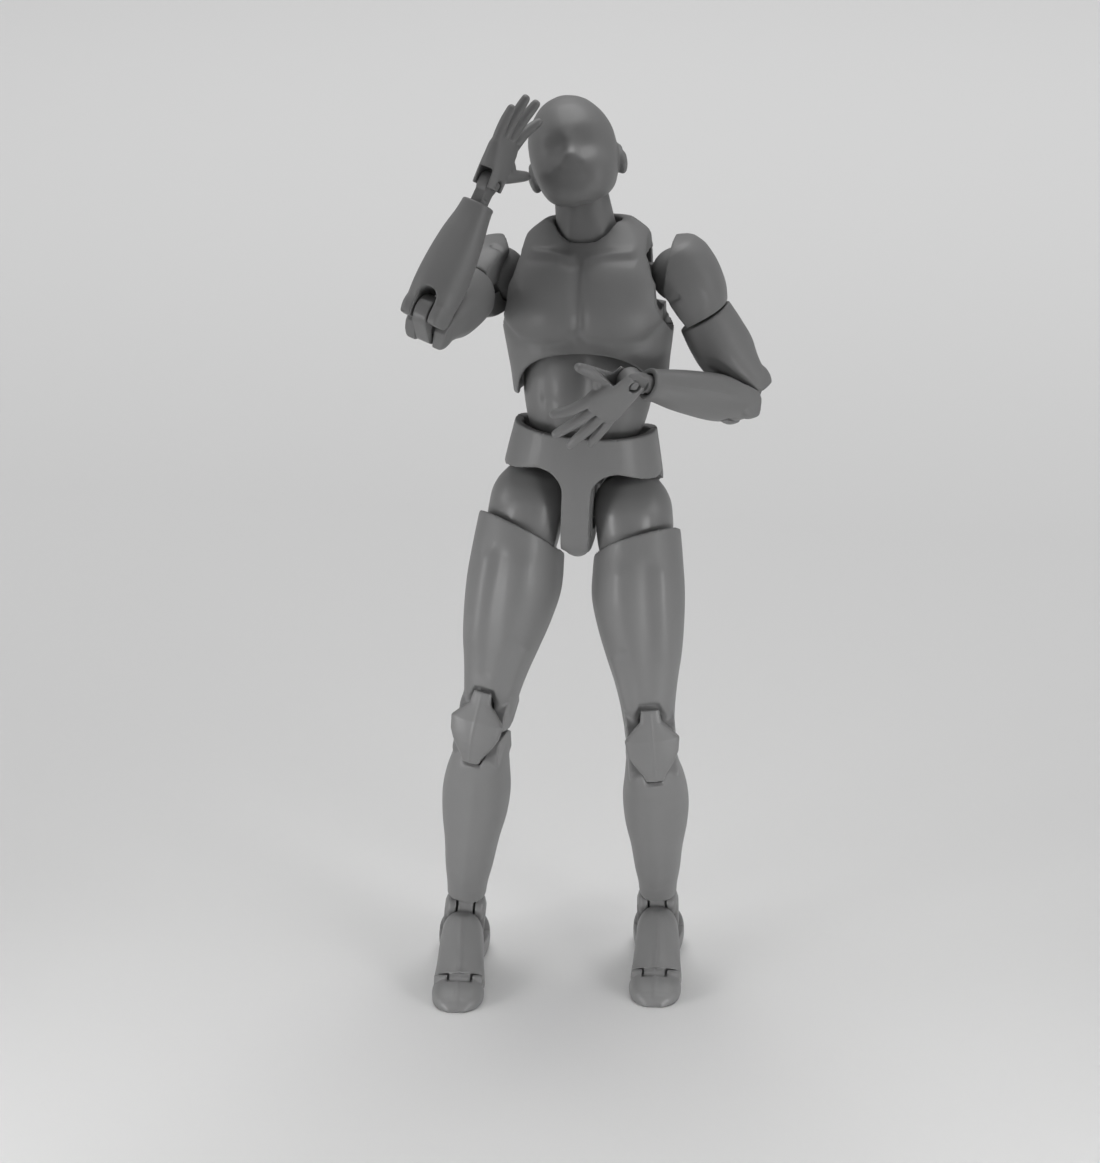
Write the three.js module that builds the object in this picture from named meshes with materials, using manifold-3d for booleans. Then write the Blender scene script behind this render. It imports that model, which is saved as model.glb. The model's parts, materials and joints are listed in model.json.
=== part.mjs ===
// Poseable blank body figure, 1:12, about 150 mm tall when it stands upright
// Millimetres, +Z up, the figure faces -Y and its left side is +X
import * as THREE from 'three'
import Module from 'manifold-3d'
import { mergeVertices } from 'three/addons/utils/BufferGeometryUtils.js'

const wasm = await Module()
wasm.setup()

// Fits
const gap = 0.3
const seam = 0.16
const trim = 0.09
const pinR = 1.0
const stubR = 0.8

// Leg lengths
const hipX = 7.8
const thighLength = 36.8
const shinLength = 35.2
const kneeHalf = 2.6
const ankleHeight = 9.0
const rollDrop = 3.1
const footFront = 13.2
const toeHeight = 1.5

// Trunk and arm lengths
const twistZ = 8.0
const waistZ = 14.5
const leanZ = 8.4
const chestZ = 4.5
const neckZ = 14.3
const neckY = 0.6
const nodZ = 7.0
const tiltZ = 2.2
const flyX = 6.5
const shoulderReach = 7.3
const shoulderZ = 9.3
const shoulderY = 0.8
const armLength = 21.8
const foreLength = 22.7
const elbowHalf = 1.8

// Balls, shafts and plates
const hipBallR = 6.4
const hipFlat = 5.2
const hipDiscR = 2.6
const hipShaftR = 1.5
const postR = 1.6
const waistPostR = 1.9
const postFoot = 5.0
const barrelR = 2.0
const shoulderBallR = 4.2
const linkShaftR = 1.3
const deltoidIn = 2.4
const deltoidR = 5.7
const neckBallR = 2.2
const neckEar = 0.9
const kneePlate = 2.8
const elbowPlate = 2.3
const elbowLinkR = 2.5
const kneeEndR = 3.7
const elbowEndR = 2.8
const anklePost = 2.5
const earR = 2.3
const earWidth = 1.8
const wristShaftR = 1.4
const wristDiscR = 1.9
const wristPlate = 0.9
const bendMost = 70
const upperShare = 0.3

// Rest pose in degrees, the way the figure stands in the picture
const rest = {
  pelvisPitch: 0.1, pelvisRoll: 3.0,
  waistTwist: -2.4, waistBend: -3.1, chestSide: -5.4, chestBend: -2.6,
  neckLean: -7.0, neckTurn: 6.3, headNod: -24.0, headTilt: -5.5,
  right: {
    swing: -8.2, spread: 7.4, turn: 10.3, knee: 17.4, footYaw: -6.3,
    fly: -3.0, armSwing: -74.5, raise: 23.5, swivel: -12.9, elbow: 129.4, wristTwist: -4.5, wristBend: 4.6,
  },
  left: {
    swing: -8.2, spread: 9.1, turn: 10.5, knee: 30.0, footYaw: 4.0,
    fly: 0.0, armSwing: 7.1, raise: 29.4, swivel: -33.9, elbow: 131.6, wristTwist: 46.0, wristBend: 68.0,
  },
}

const shellGrey = new THREE.MeshStandardMaterial({ color: 0x6c6d6f, roughness: 0.55, metalness: 0 })
const jointGrey = new THREE.MeshStandardMaterial({ color: 0x616264, roughness: 0.35, metalness: 0 })

function solid(geometry) {
  geometry.deleteAttribute('normal')
  geometry.deleteAttribute('uv')
  const merged = mergeVertices(geometry, 1e-4)
  const index = merged.index.array
  const triVerts = []
  for (let i = 0; i < index.length; i += 3) {
    const [a, b, c] = [index[i], index[i + 1], index[i + 2]]
    if (a !== b && b !== c && c !== a) triVerts.push(a, b, c)
  }
  const vertProperties = new Float32Array(merged.attributes.position.array)
  return new wasm.Manifold(new wasm.Mesh({ numProp: 3, vertProperties, triVerts: new Uint32Array(triVerts) }))
}

function ball(r, at, across = 14, down = 9) {
  const geometry = new THREE.SphereGeometry(r, across, down)
  geometry.rotateX(Math.PI / 2)
  return solid(geometry).translate(at)
}

function rod(axis, r, from, to, at, sides = 14, rEnd = r) {
  const geometry = new THREE.CylinderGeometry(rEnd, r, to - from, sides)
  geometry.translate(0, (from + to) / 2, 0)
  if (axis === 'x') geometry.rotateZ(-Math.PI / 2)
  if (axis === 'z') geometry.rotateX(Math.PI / 2)
  return solid(geometry).translate(at)
}

function block(x0, x1, y0, y1, z0, z1) {
  const geometry = new THREE.BoxGeometry(x1 - x0, y1 - y0, z1 - z0)
  return solid(geometry).translate([(x0 + x1) / 2, (y0 + y1) / 2, (z0 + z1) / 2])
}

// A body through sections [place, a0, a1, b0, b1], each a rounded box
function loft(sections, { along = 'z', sides = 16, steps = 1, power = 2.4 } = {}) {
  const rings = []
  for (let i = 0; i < sections.length - 1; i += 1) {
    const [p, q, r, s] = [-1, 0, 1, 2].map((k) => sections[Math.min(Math.max(i + k, 0), sections.length - 1)])
    const count = i === sections.length - 2 ? steps + 1 : steps
    for (let k = 0; k < count; k += 1) {
      const t = k / steps
      rings.push(q.map((_, j) => {
        const tangentA = (r[j] - p[j]) / 2
        const tangentB = (s[j] - q[j]) / 2
        const [t2, t3] = [t * t, t * t * t]
        if (j === 0) return q[0] + (r[0] - q[0]) * t
        return (2 * t3 - 3 * t2 + 1) * q[j] + (t3 - 2 * t2 + t) * tangentA +
          (3 * t2 - 2 * t3) * r[j] + (t3 - t2) * tangentB
      }))
    }
  }
  const place = (u, v, w) => (along === 'z' ? [u, v, w] : [u, w, v])
  const positions = []
  for (const [w, a0, a1, b0, b1] of rings) {
    for (let k = 0; k < sides; k += 1) {
      const angle = (2 * Math.PI * (k + 0.5)) / sides
      const [c, s] = [Math.cos(angle), Math.sin(angle)]
      const u = (a0 + a1) / 2 + (Math.sign(c) * Math.abs(c) ** (2 / power) * (a1 - a0)) / 2
      const v = (b0 + b1) / 2 + (Math.sign(s) * Math.abs(s) ** (2 / power) * (b1 - b0)) / 2
      positions.push(...place(u, v, w))
    }
  }
  const ends = [rings[0], rings[rings.length - 1]]
  for (const [w, a0, a1, b0, b1] of ends) positions.push(...place((a0 + a1) / 2, (b0 + b1) / 2, w))
  const index = []
  const last = (rings.length - 1) * sides
  for (let k = 0; k < sides; k += 1) {
    const n = (k + 1) % sides
    for (let i = 0; i < rings.length - 1; i += 1) {
      const [low, high] = [i * sides, (i + 1) * sides]
      index.push(low + k, low + n, high + n, low + k, high + n, high + k)
    }
    index.push(rings.length * sides, n, k)
    index.push(rings.length * sides + 1, last + k, last + n)
  }
  const rising = rings[rings.length - 1][0] > rings[0][0]
  if (rising !== (along === 'z')) {
    for (let i = 0; i < index.length; i += 3) [index[i], index[i + 1]] = [index[i + 1], index[i]]
  }
  const geometry = new THREE.BufferGeometry()
  geometry.setAttribute('position', new THREE.BufferAttribute(new Float32Array(positions), 3))
  geometry.setIndex(index)
  return solid(geometry)
}

// A tapered tube through points, used for fingers
function tube(points, radii, sides = 8) {
  const at = points.map((p) => new THREE.Vector3(...p))
  const positions = []
  at.forEach((p, i) => {
    const way = at[Math.min(i + 1, at.length - 1)].clone().sub(at[Math.max(i - 1, 0)]).normalize()
    const u = new THREE.Vector3(1, 0, 0).addScaledVector(way, -way.x).normalize()
    const v = way.clone().cross(u)
    for (let k = 0; k < sides; k += 1) {
      const angle = (2 * Math.PI * k) / sides
      const q = p.clone().addScaledVector(u, radii[i] * Math.cos(angle))
      q.addScaledVector(v, radii[i] * Math.sin(angle))
      positions.push(...q.toArray())
    }
  })
  positions.push(...points[0], ...points[points.length - 1])
  const index = []
  const last = (points.length - 1) * sides
  for (let k = 0; k < sides; k += 1) {
    const n = (k + 1) % sides
    for (let i = 0; i < last; i += sides) {
      index.push(i + k, i + n, i + sides + n, i + k, i + sides + n, i + sides + k)
    }
    index.push(last + sides, n, k, last + sides + 1, last + k, last + n)
  }
  const geometry = new THREE.BufferGeometry()
  geometry.setAttribute('position', new THREE.BufferAttribute(new Float32Array(positions), 3))
  geometry.setIndex(index)
  return solid(geometry)
}

// An outline in X and Z pushed along Y
function slab(points, y0, y1) {
  const shape = new THREE.Shape(points.map(([x, z]) => new THREE.Vector2(x, z)))
  const geometry = new THREE.ExtrudeGeometry(shape, { depth: y1 - y0, bevelEnabled: false })
  geometry.rotateX(Math.PI / 2)
  return solid(geometry).translate([0, y1, 0])
}

const join = (...bodies) => bodies.reduce((a, b) => a.add(b))
const cut = (body, ...tools) => tools.reduce((a, b) => a.subtract(b), body)
const mirror = (body, s) => (s > 0 ? body : body.scale([-1, 1, 1]))

function piece(group, name, body, material = shellGrey) {
  const data = body.asOriginal().simplify(trim).getMesh()
  const geometry = new THREE.BufferGeometry()
  geometry.setAttribute('position', new THREE.BufferAttribute(new Float32Array(data.vertProperties), 3))
  geometry.setIndex(new THREE.BufferAttribute(new Uint32Array(data.triVerts), 1))
  geometry.computeVertexNormals()
  const mesh = new THREE.Mesh(geometry, material)
  mesh.name = name
  group.add(mesh)
}

function hinge(parent, name, at, axis, degrees) {
  const group = new THREE.Group()
  group.name = name
  group.position.set(...at)
  group.rotation[axis] = THREE.MathUtils.degToRad(degrees)
  parent.add(group)
  return group
}

// Room for the other limb at a double hinge: the limb lies above (up = 1) or below its pin
function bendCut(z, half, up, flex) {
  const big = 30
  const flat = block(-big, big, -big, big, -big, -half + gap / 2)
  const tool = join(flat, flat.rotate([(flex * bendMost) / 2, 0, 0]), flat.rotate([flex * bendMost, 0, 0]))
  return (up > 0 ? tool : tool.scale([1, 1, -1])).translate([0, 0, z])
}

// Pelvis: two shells around a hub, open at each leg and bowled for the belly
function buildPelvis(group) {
  const outer = loft([
    [-7.6, -0.9, 0.9, -2.4, 2.2], [-7.0, -1.7, 1.7, -3.6, 3.4], [-6.0, -2.5, 2.5, -5.2, 5.0],
    [-4.9, -6.0, 6.0, -6.2, 6.4],
    [-2.5, -10.6, 10.6, -7.2, 8.0],
    [1.0, -12.1, 12.1, -8.1, 8.8], [5.0, -12.4, 12.4, -8.5, 8.9], [9.0, -11.8, 11.8, -8.6, 8.5],
    [12.5, -11.1, 11.1, -8.6, 8.4], [15.6, -10.5, 10.5, -8.5, 8.3],
  ], { sides: 22, power: 2.6 })
  const bowl = loft([
    [7.4, -5.6, 5.6, -4.6, 4.6], [8.6, -7.6, 7.6, -5.9, 5.9], [11.0, -9.3, 9.3, -7.2, 7.1],
    [14.0, -9.7, 9.7, -7.5, 7.3], [16.0, -9.7, 9.7, -7.5, 7.3],
  ], { sides: 18 })
  const hubR = 3.4
  const coreHalf = hipX - hipFlat - gap
  const core = join(
    block(-coreHalf, coreHalf, -4.4, 4.8, -3.6, 5.4),
    rod('z', hubR, 4.4, 7.2, [0, 0.3, 0], 16),
  )
  const room = join(
    block(-coreHalf - seam, coreHalf + seam, -4.4 - seam, 4.8 + seam, -3.6 - seam, 5.4 + seam),
    rod('z', hubR + seam, 4.4 - seam, 8, [0, 0.3, 0], 16),
  )
  const strap = 2.2
  const legR = 3.9
  const opening = (top, y0, y1) => {
    const leg = []
    for (let k = 0; k <= 10; k += 1) {
      const angle = Math.PI * (1 - (0.56 * k) / 10)
      leg.push([strap + legR + legR * Math.cos(angle), top - legR + legR * Math.sin(angle)])
    }
    const outline = [[strap, -20], ...leg, [11.6, top - 1.3], [20, top - 2.7], [20, -20]]
    return slab(outline.reverse(), y0, y1)
  }
  const hipRoom = join(opening(8.2, -20, 0.5), opening(4.6, 0, 20), ball(hipBallR + 2 * gap, [hipX, 0, 0]))
  const legs = [1, -1].map((s) => mirror(hipRoom, s))
  const hips = [1, -1].map((s) => ball(hipBallR + gap, [s * hipX, 0, 0]))
  const shafts = [1, -1].map((s) => mirror(rod('x', hipShaftR + gap, 0.3, 6, [0, 0, 0], 12), s))
  const rim = rod('y', 50, -30, 30, [0, 0, 50], 96).rotate([-8, 0, 0]).translate([0, 0, 12.5])
  const shell = cut(outer, bowl, rim, room, ...legs, ...shafts)
  const splitY = 1.0
  piece(group, 'pelvis_front', cut(shell, block(-30, 30, splitY - seam / 2, 30, -30, 30)))
  piece(group, 'pelvis_back', cut(shell, block(-30, 30, -30, splitY + seam / 2, -30, 30)))
  const socket = rod('z', waistPostR + gap, postFoot - gap, 12, [0, 0.3, 0], 16)
  piece(group, 'pelvis_core', cut(core, socket, ...shafts, ...hips), jointGrey)
}

function buildWaistPost(group) {
  const body = join(
    rod('z', waistPostR, postFoot - twistZ, waistZ - twistZ, [0, 0, 0], 16),
    rod('x', barrelR, -3.2, 3.2, [0, 0, waistZ - twistZ], 16),
  )
  piece(group, 'waist_post', body, jointGrey)
}

// Belly: rounded at both ends, a barrel socket below and above
function buildAbdomen(group) {
  const outer = loft([
    [-5.0, -6.2, 6.2, -4.9, 4.8], [-3.6, -7.5, 7.5, -5.8, 5.5], [-1.2, -8.7, 8.7, -6.4, 6.0],
    [1.4, -9.4, 9.4, -6.8, 6.3], [4.4, -9.9, 9.9, -7.0, 6.4], [8.0, -9.8, 9.8, -7.0, 6.3],
    [10.4, -9.4, 9.4, -6.6, 6.0], [12.2, -8.2, 8.2, -5.8, 5.2],
  ], { sides: 18 })
  const low = join(
    rod('x', barrelR + gap, -3.2 - gap, 3.2 + gap, [0, 0, 0], 16),
    loft([[-6.0, -2.3, 2.3, -4.2, 4.2], [0, -2.3, 2.3, -2.2, 2.2]], { sides: 16, power: 4 }),
  )
  const high = join(
    rod('y', barrelR + gap, -2.8 - gap, 2.8 + gap, [0, 0, leanZ], 16),
    block(-6.6, 6.6, -4.6, 4.9, leanZ + 1.1, leanZ + 12),
  )
  piece(group, 'abdomen', cut(outer, low, high))
}

function buildChestPost(group) {
  const body = join(
    rod('y', barrelR, -2.8, 2.8, [0, 0, 0], 16),
    block(-1.5, 1.5, -1.5, 1.5, 0, chestZ),
    rod('x', barrelR - 0.3, -2.8, 2.8, [0, 0, chestZ], 16),
  )
  piece(group, 'chest_post', body, jointGrey)
}

// Rib cage: front and back shells around a hub with the neck ears and the shoulder forks
function buildChest(group) {
  const outer = loft([
    [-8.6, -11.8, 11.8, -7.6, 8.5], [-4.0, -12.2, 12.2, -8.6, 9.0], [0.0, -12.8, 12.8, -9.4, 9.2],
    [3.5, -13.2, 13.2, -10.1, 9.2], [7.2, -13.1, 13.1, -10.0, 9.4], [10.2, -12.3, 12.3, -8.9, 9.2],
    [12.5, -11.4, 11.4, -7.1, 8.8], [14.4, -10.3, 10.3, -5.3, 8.2], [16.2, -8.7, 8.7, -3.6, 7.6],
    [17.7, -6.6, 6.6, -2.6, 7.0],
  ], { sides: 22, power: 2.5 })
  const dome = loft([
    [-9.0, -10.8, 10.8, -7.5, 7.7], [-4.5, -10.7, 10.7, -7.6, 7.6], [-2.0, -10.3, 10.3, -7.4, 7.2],
    [0.4, -9.4, 9.4, -6.8, 6.5], [1.8, -8.4, 8.4, -5.8, 5.4],
  ], { sides: 18 })
  const arch = (wide, high, y0, y1) => {
    const points = []
    for (let k = 0; k <= 14; k += 1) {
      const angle = (Math.PI * k) / 14
      const [c, s] = [Math.cos(angle), Math.sin(angle)]
      points.push([wide * Math.sign(c) * Math.abs(c) ** 0.8, -8.6 + high * s ** 0.9])
    }
    return slab([[wide, -12], ...points, [-wide, -12]], y0, y1)
  }
  const armhole = slab([
    [9.4, 24], [9.4, 15.4], [9.7, 13], [10.6, 9.6], [11.8, 7.4], [13.4, 6.0], [24, 6.0], [24, 24],
  ], -20, 20)
  const bay = block(4.0, 12.5, -3.6, 5.2, 5.4, 13.0)
  const shoulderX = flyX + shoulderReach
  const sweep = join(
    ball(deltoidR + gap, [shoulderX, shoulderY, shoulderZ], 16, 10),
    rod('x', 8.2, shoulderX - deltoidIn - gap, 30, [0, shoulderY, shoulderZ], 20),
    block(9.0, 30, 3.0, 30, 4.4, 30),
  )
  const sides = [1, -1].map((s) => mirror(join(armhole, bay, sweep), s))
  const core = block(-4.0, 4.0, -3.2, 4.0, -2.2, neckZ - neckBallR - gap)
  const coreTop = neckZ - neckBallR - gap
  const room = block(-4.0 - seam, 4.0 + seam, -3.2 - seam, 4.0 + seam, -2.2 - seam, coreTop + seam)
  const collar = loft([
    [neckZ - neckBallR - gap, -5.2, 5.2, -4.7, 6.2], [24, -5.2, 5.2, -4.9, 6.8],
  ], { sides: 18, power: 2 })
  const shell = cut(outer, dome, arch(10.4, 7.2, -20, 0), arch(9.4, 6.2, 0, 20), ...sides, room, collar)
  const splitY = 3.0
  piece(group, 'chest_front', cut(shell, block(-30, 30, splitY - seam / 2, 30, -30, 30)))
  piece(group, 'chest_back', cut(shell, block(-30, 30, -30, splitY + seam / 2, -30, 30)))
  const barrel = join(
    rod('x', barrelR - 0.3 + gap, -2.8 - gap, 2.8 + gap, [0, 0, 0], 16),
    loft([[-4, -1.9, 1.9, -6.0, 6.0], [0, -1.9, 1.9, -2.1, 2.1]], { sides: 16, power: 4 }),
  )
  const plate = (z0, z1) => join(
    block(3.8, flyX, shoulderY - 2.0, shoulderY + 2.0, z0, z1),
    rod('z', 2.0, z0, z1, [flyX, shoulderY, 0], 12),
  )
  const half = linkShaftR + 0.4
  const fork = join(
    plate(shoulderZ + half + gap, shoulderZ + half + gap + 1.2),
    plate(shoulderZ - half - gap - 1.2, shoulderZ - half - gap),
  )
  const tall = half + gap
  const pivot = rod('z', stubR + gap, -tall - 1.4, tall + 1.4, [flyX, shoulderY, shoulderZ], 12)
  const swing = rod('z', 2.0 + gap, -tall, tall, [flyX, shoulderY, shoulderZ], 12)
  const ear = (s) => join(
    block(-1.25, 1.25, neckBallR + gap, neckBallR + gap + neckEar, -4, 0),
    rod('y', 1.25, neckBallR + gap, neckBallR + gap + neckEar, [0, 0, 0], 12),
  ).scale([1, s, 1]).translate([0, neckY, neckZ])
  const hub = cut(
    join(core, ...[1, -1].map((s) => mirror(fork, s)), ear(1), ear(-1)),
    barrel, ...[1, -1].map((s) => mirror(join(pivot, swing), s)),
    ball(neckBallR + gap, [0, neckY, neckZ], 12, 8),
    rod('y', stubR + gap, -8, 8, [0, neckY, neckZ], 12),
  )
  piece(group, 'chest_core', hub, jointGrey)
}

function buildNeckBall(group) {
  const reach = neckBallR + gap + neckEar
  const body = join(
    ball(neckBallR, [0, 0, 0], 12, 8),
    rod('y', stubR, -reach, reach, [0, 0, 0], 12),
    rod('z', 1.3, 0, 5.0, [0, 0, 0], 12),
  )
  piece(group, 'neck_ball', body, jointGrey)
}

function buildNeck(group) {
  const outer = loft([
    [-0.9, -4.7, 4.7, -4.6, 4.5], [0.6, -4.8, 4.8, -4.7, 4.6], [3.0, -4.5, 4.5, -4.4, 4.4],
    [6.0, -4.2, 4.2, -4.1, 4.1], [8.2, -4.0, 4.0, -3.9, 3.9],
  ], { sides: 18, power: 2 })
  const cup = rod('z', 3.3, 5.6, 9, [0, 0, 0], 16)
  const stalk = join(
    block(-2.0, 2.0, -1.5, 1.5, 4.8, nodZ),
    rod('x', 1.5, -2.0, 2.0, [0, 0, nodZ], 16),
  )
  const body = cut(
    join(cut(outer, cup), stalk),
    rod('z', neckBallR + gap + neckEar + 2 * gap, -3, 1.75, [0, 0, 0], 18),
    ball(neckBallR + gap, [0, 0, 0], 12, 8),
    rod('z', 1.3 + gap, 0, 5.0 + gap, [0, 0, 0], 12),
    block(-0.8 - gap, 0.8 + gap, -4, 4, nodZ - 1.9, nodZ + 4),
    rod('x', 0.6 + gap, -4, 4, [0, 0, nodZ], 12),
  )
  piece(group, 'neck', body)
}

function buildHeadPost(group) {
  const body = join(
    rod('x', 1.5, -0.8, 0.8, [0, 0, 0], 16),
    rod('x', 0.6, -2.0, 2.0, [0, 0, 0], 12),
    block(-0.8, 0.8, -1.2, 1.2, 0, tiltZ),
    rod('y', 1.1, -2.2, 2.2, [0, 0, tiltZ], 12),
    rod('y', stubR, -3.6, 3.6, [0, 0, tiltZ], 12),
  )
  piece(group, 'head_post', body, jointGrey)
}

function buildHead(group) {
  const skull = loft([
    [-5.3, -1.6, 1.6, -7.4, -4.8], [-4.7, -3.2, 3.2, -8.6, -3.0], [-3.8, -4.4, 4.4, -9.3, -0.8],
    [-2.4, -5.3, 5.3, -9.8, 2.2], [-0.4, -6.0, 6.0, -10.1, 5.0], [2.0, -6.5, 6.5, -10.1, 7.0],
    [5.0, -6.7, 6.7, -9.7, 8.3], [8.0, -6.3, 6.3, -8.8, 8.5], [10.4, -5.1, 5.1, -7.2, 7.4],
    [12.2, -3.4, 3.4, -4.9, 5.3], [13.2, -1.5, 1.5, -2.4, 2.6],
  ], { sides: 20, power: 2.2 })
  const ear = (s) => ball(1, [0, 0, 0], 8, 6).scale([0.9, 1.7, 2.6]).rotate([-10, 0, s * 14])
    .translate([s * 6.4, 0.9, 2.4])
  const nose = loft([
    [0.2, -1.3, 1.3, -10.7, -8.5], [1.0, -1.1, 1.1, -11.0, -8.5], [4.4, -0.6, 0.6, -10.1, -8.5],
  ], { sides: 10, power: 2 })
  const socket = join(
    ball(5.0, [0, -0.2, -tiltZ]),
    rod('z', 5.0, -9, -tiltZ, [0, -0.2, 0], 16),
    block(-2.8, 2.8, -2.2 - gap, 2.2 + gap, -2, 2.4),
    rod('y', stubR + gap, -3.6 - gap, 3.6 + gap, [0, 0, 0], 12),
  )
  piece(group, 'head', cut(join(skull, ear(1), ear(-1), nose), socket))
}

// One arm; s = 1 is the left one and every shape is drawn for the left
function buildShoulderLink(group, name, s) {
  const half = linkShaftR + 0.4
  const body = join(
    rod('z', 2.0, -half, half, [0, 0, 0], 12),
    rod('z', stubR, -half - gap - 1.1, half + gap + 1.1, [0, 0, 0], 12),
    block(0, 3.4, -1.2, 1.2, -half, half),
    rod('x', linkShaftR, 1, shoulderReach + 0.4, [0, 0, 0], 16),
  )
  piece(group, name, mirror(body, s), jointGrey)
}

function buildShoulderBall(group, name, s) {
  const body = cut(
    join(
      ball(shoulderBallR, [0, 0, 0]),
      rod('y', pinR, -shoulderBallR - 0.5, shoulderBallR + 0.5, [0, 0, 0], 12),
    ),
    rod('x', linkShaftR + gap, -8, 0.4 + gap, [0, 0, 0], 16),
  )
  piece(group, name, mirror(body, s), jointGrey)
}

function buildDeltoid(group, name, s) {
  const outer = loft([
    [-7.2, -3.8, 4.3, -4.3, 4.2], [-5.6, -4.2, 5.1, -5.0, 4.9], [-3.0, -4.4, 5.8, -5.6, 5.4],
    [0.0, -4.4, 6.0, -5.6, 5.6], [2.6, -4.2, 5.6, -5.3, 5.3], [4.4, -3.2, 4.4, -4.3, 4.3],
    [5.5, -1.4, 2.4, -2.2, 2.2],
  ], { sides: 18 })
  const body = cut(
    outer,
    ball(shoulderBallR + gap, [0, 0, 0]),
    block(-8, -deltoidIn, -8, 8, -9, 8),
    block(-20, 0, -9, 9, -20, 20).rotate([0, 40, 0]).translate([-deltoidIn, 0, -0.5]),
    cut(block(-9, 0, -9, 9, -2.5, 9), ball(deltoidR, [0, 0, 0], 16, 10)),
    block(-8, 1.6, -linkShaftR - 0.5, linkShaftR + 0.5, 0, 8),
    rod('y', pinR + gap, -shoulderBallR - 0.5 - gap, shoulderBallR + 0.5 + gap, [0, 0, 0], 12),
    rod('z', 2.0 + gap, -9, -3, [0, 0, 0], 16),
  )
  piece(group, name, mirror(body, s))
}

const elbowPinZ = -(armLength - elbowHalf)

function buildUpperArm(group, s, side) {
  const outer = loft([
    [elbowPinZ, -3.7, 3.8, -2.8, 2.8], [elbowPinZ + 3.4, -3.9, 4.0, -3.8, 3.5],
    [-14.6, -4.1, 4.2, -4.4, 4.2],
    [-11.0, -4.1, 4.3, -4.5, 4.3], [-7.2 - gap, -3.7, 4.2, -4.2, 4.1],
  ], { sides: 16 })
  const body = cut(
    join(
      outer,
      rod('x', elbowEndR, -3.6, 3.7, [0, 0, elbowPinZ], 16),
      rod('z', 2.0, -9, -4.9, [0, 0, 0], 16),
    ),
    bendCut(elbowPinZ, elbowHalf, 1, -1),
    block(-elbowPlate / 2 - gap, elbowPlate / 2 + gap, -9, 9, elbowPinZ - 6, elbowPinZ + elbowEndR + 0.6),
    rod('x', pinR + seam, -9, 9, [0, 0, elbowPinZ], 12),
  )
  piece(group, `${side}_upper_arm`, mirror(body, s))
  const pin = rod('x', pinR, -3.3, 3.4, [0, 0, elbowPinZ], 12)
  piece(group, `${side}_elbow_upper_pin`, mirror(pin, s), jointGrey)
}

function buildElbowLink(group, name) {
  const plate = elbowPlate / 2
  const body = cut(
    join(
      rod('x', elbowLinkR, -plate, plate, [0, 0, 0], 16),
      rod('x', elbowLinkR, -plate, plate, [0, 0, -2 * elbowHalf], 16),
      block(-plate, plate, -elbowLinkR, elbowLinkR, -2 * elbowHalf, 0),
    ),
    rod('x', pinR + gap, -9, 9, [0, 0, 0], 12),
    rod('x', pinR + gap, -9, 9, [0, 0, -2 * elbowHalf], 12),
  )
  piece(group, name, body, jointGrey)
}

const wristZ = -(foreLength - elbowHalf)

function buildForearm(group, s, side) {
  const outer = loft([
    [wristZ + 3.2, -2.3, 2.4, -2.3, 2.3], [wristZ + 4.9, -2.5, 2.6, -2.5, 2.4],
    [-12.5, -3.1, 3.3, -3.0, 2.9],
    [-8.5, -3.6, 3.8, -3.4, 3.2], [-4.0, -3.8, 4.0, -3.6, 3.3], [0.0, -3.6, 3.8, -2.8, 2.8],
  ], { sides: 16 })
  const body = cut(
    join(outer, rod('x', elbowEndR, -3.7, 3.9, [0, 0, 0], 16)),
    bendCut(0, elbowHalf, -1, -1),
    block(-elbowPlate / 2 - gap, elbowPlate / 2 + gap, -9, 9, -elbowEndR - 0.6, 6),
    rod('x', pinR + seam, -9, 9, [0, 0, 0], 12),
    rod('z', wristShaftR + gap, wristZ - 1, wristZ + 7, [0, 0, 0], 16),
  )
  piece(group, `${side}_forearm`, mirror(body, s))
  piece(group, `${side}_elbow_lower_pin`, mirror(rod('x', pinR, -3.4, 3.6, [0, 0, 0], 12), s), jointGrey)
}

function buildWristPeg(group, name) {
  const body = join(
    rod('z', wristShaftR, 2.5, 7 - gap, [0, 0, 0], 12),
    block(-wristPlate, wristPlate, -1.4, 1.4, 0, 2.8),
    rod('x', wristDiscR, -wristPlate, wristPlate, [0, 0, 0], 16),
    rod('x', 0.7, -1.7, 1.7, [0, 0, 0], 12),
  )
  piece(group, name, body, jointGrey)
}

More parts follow.
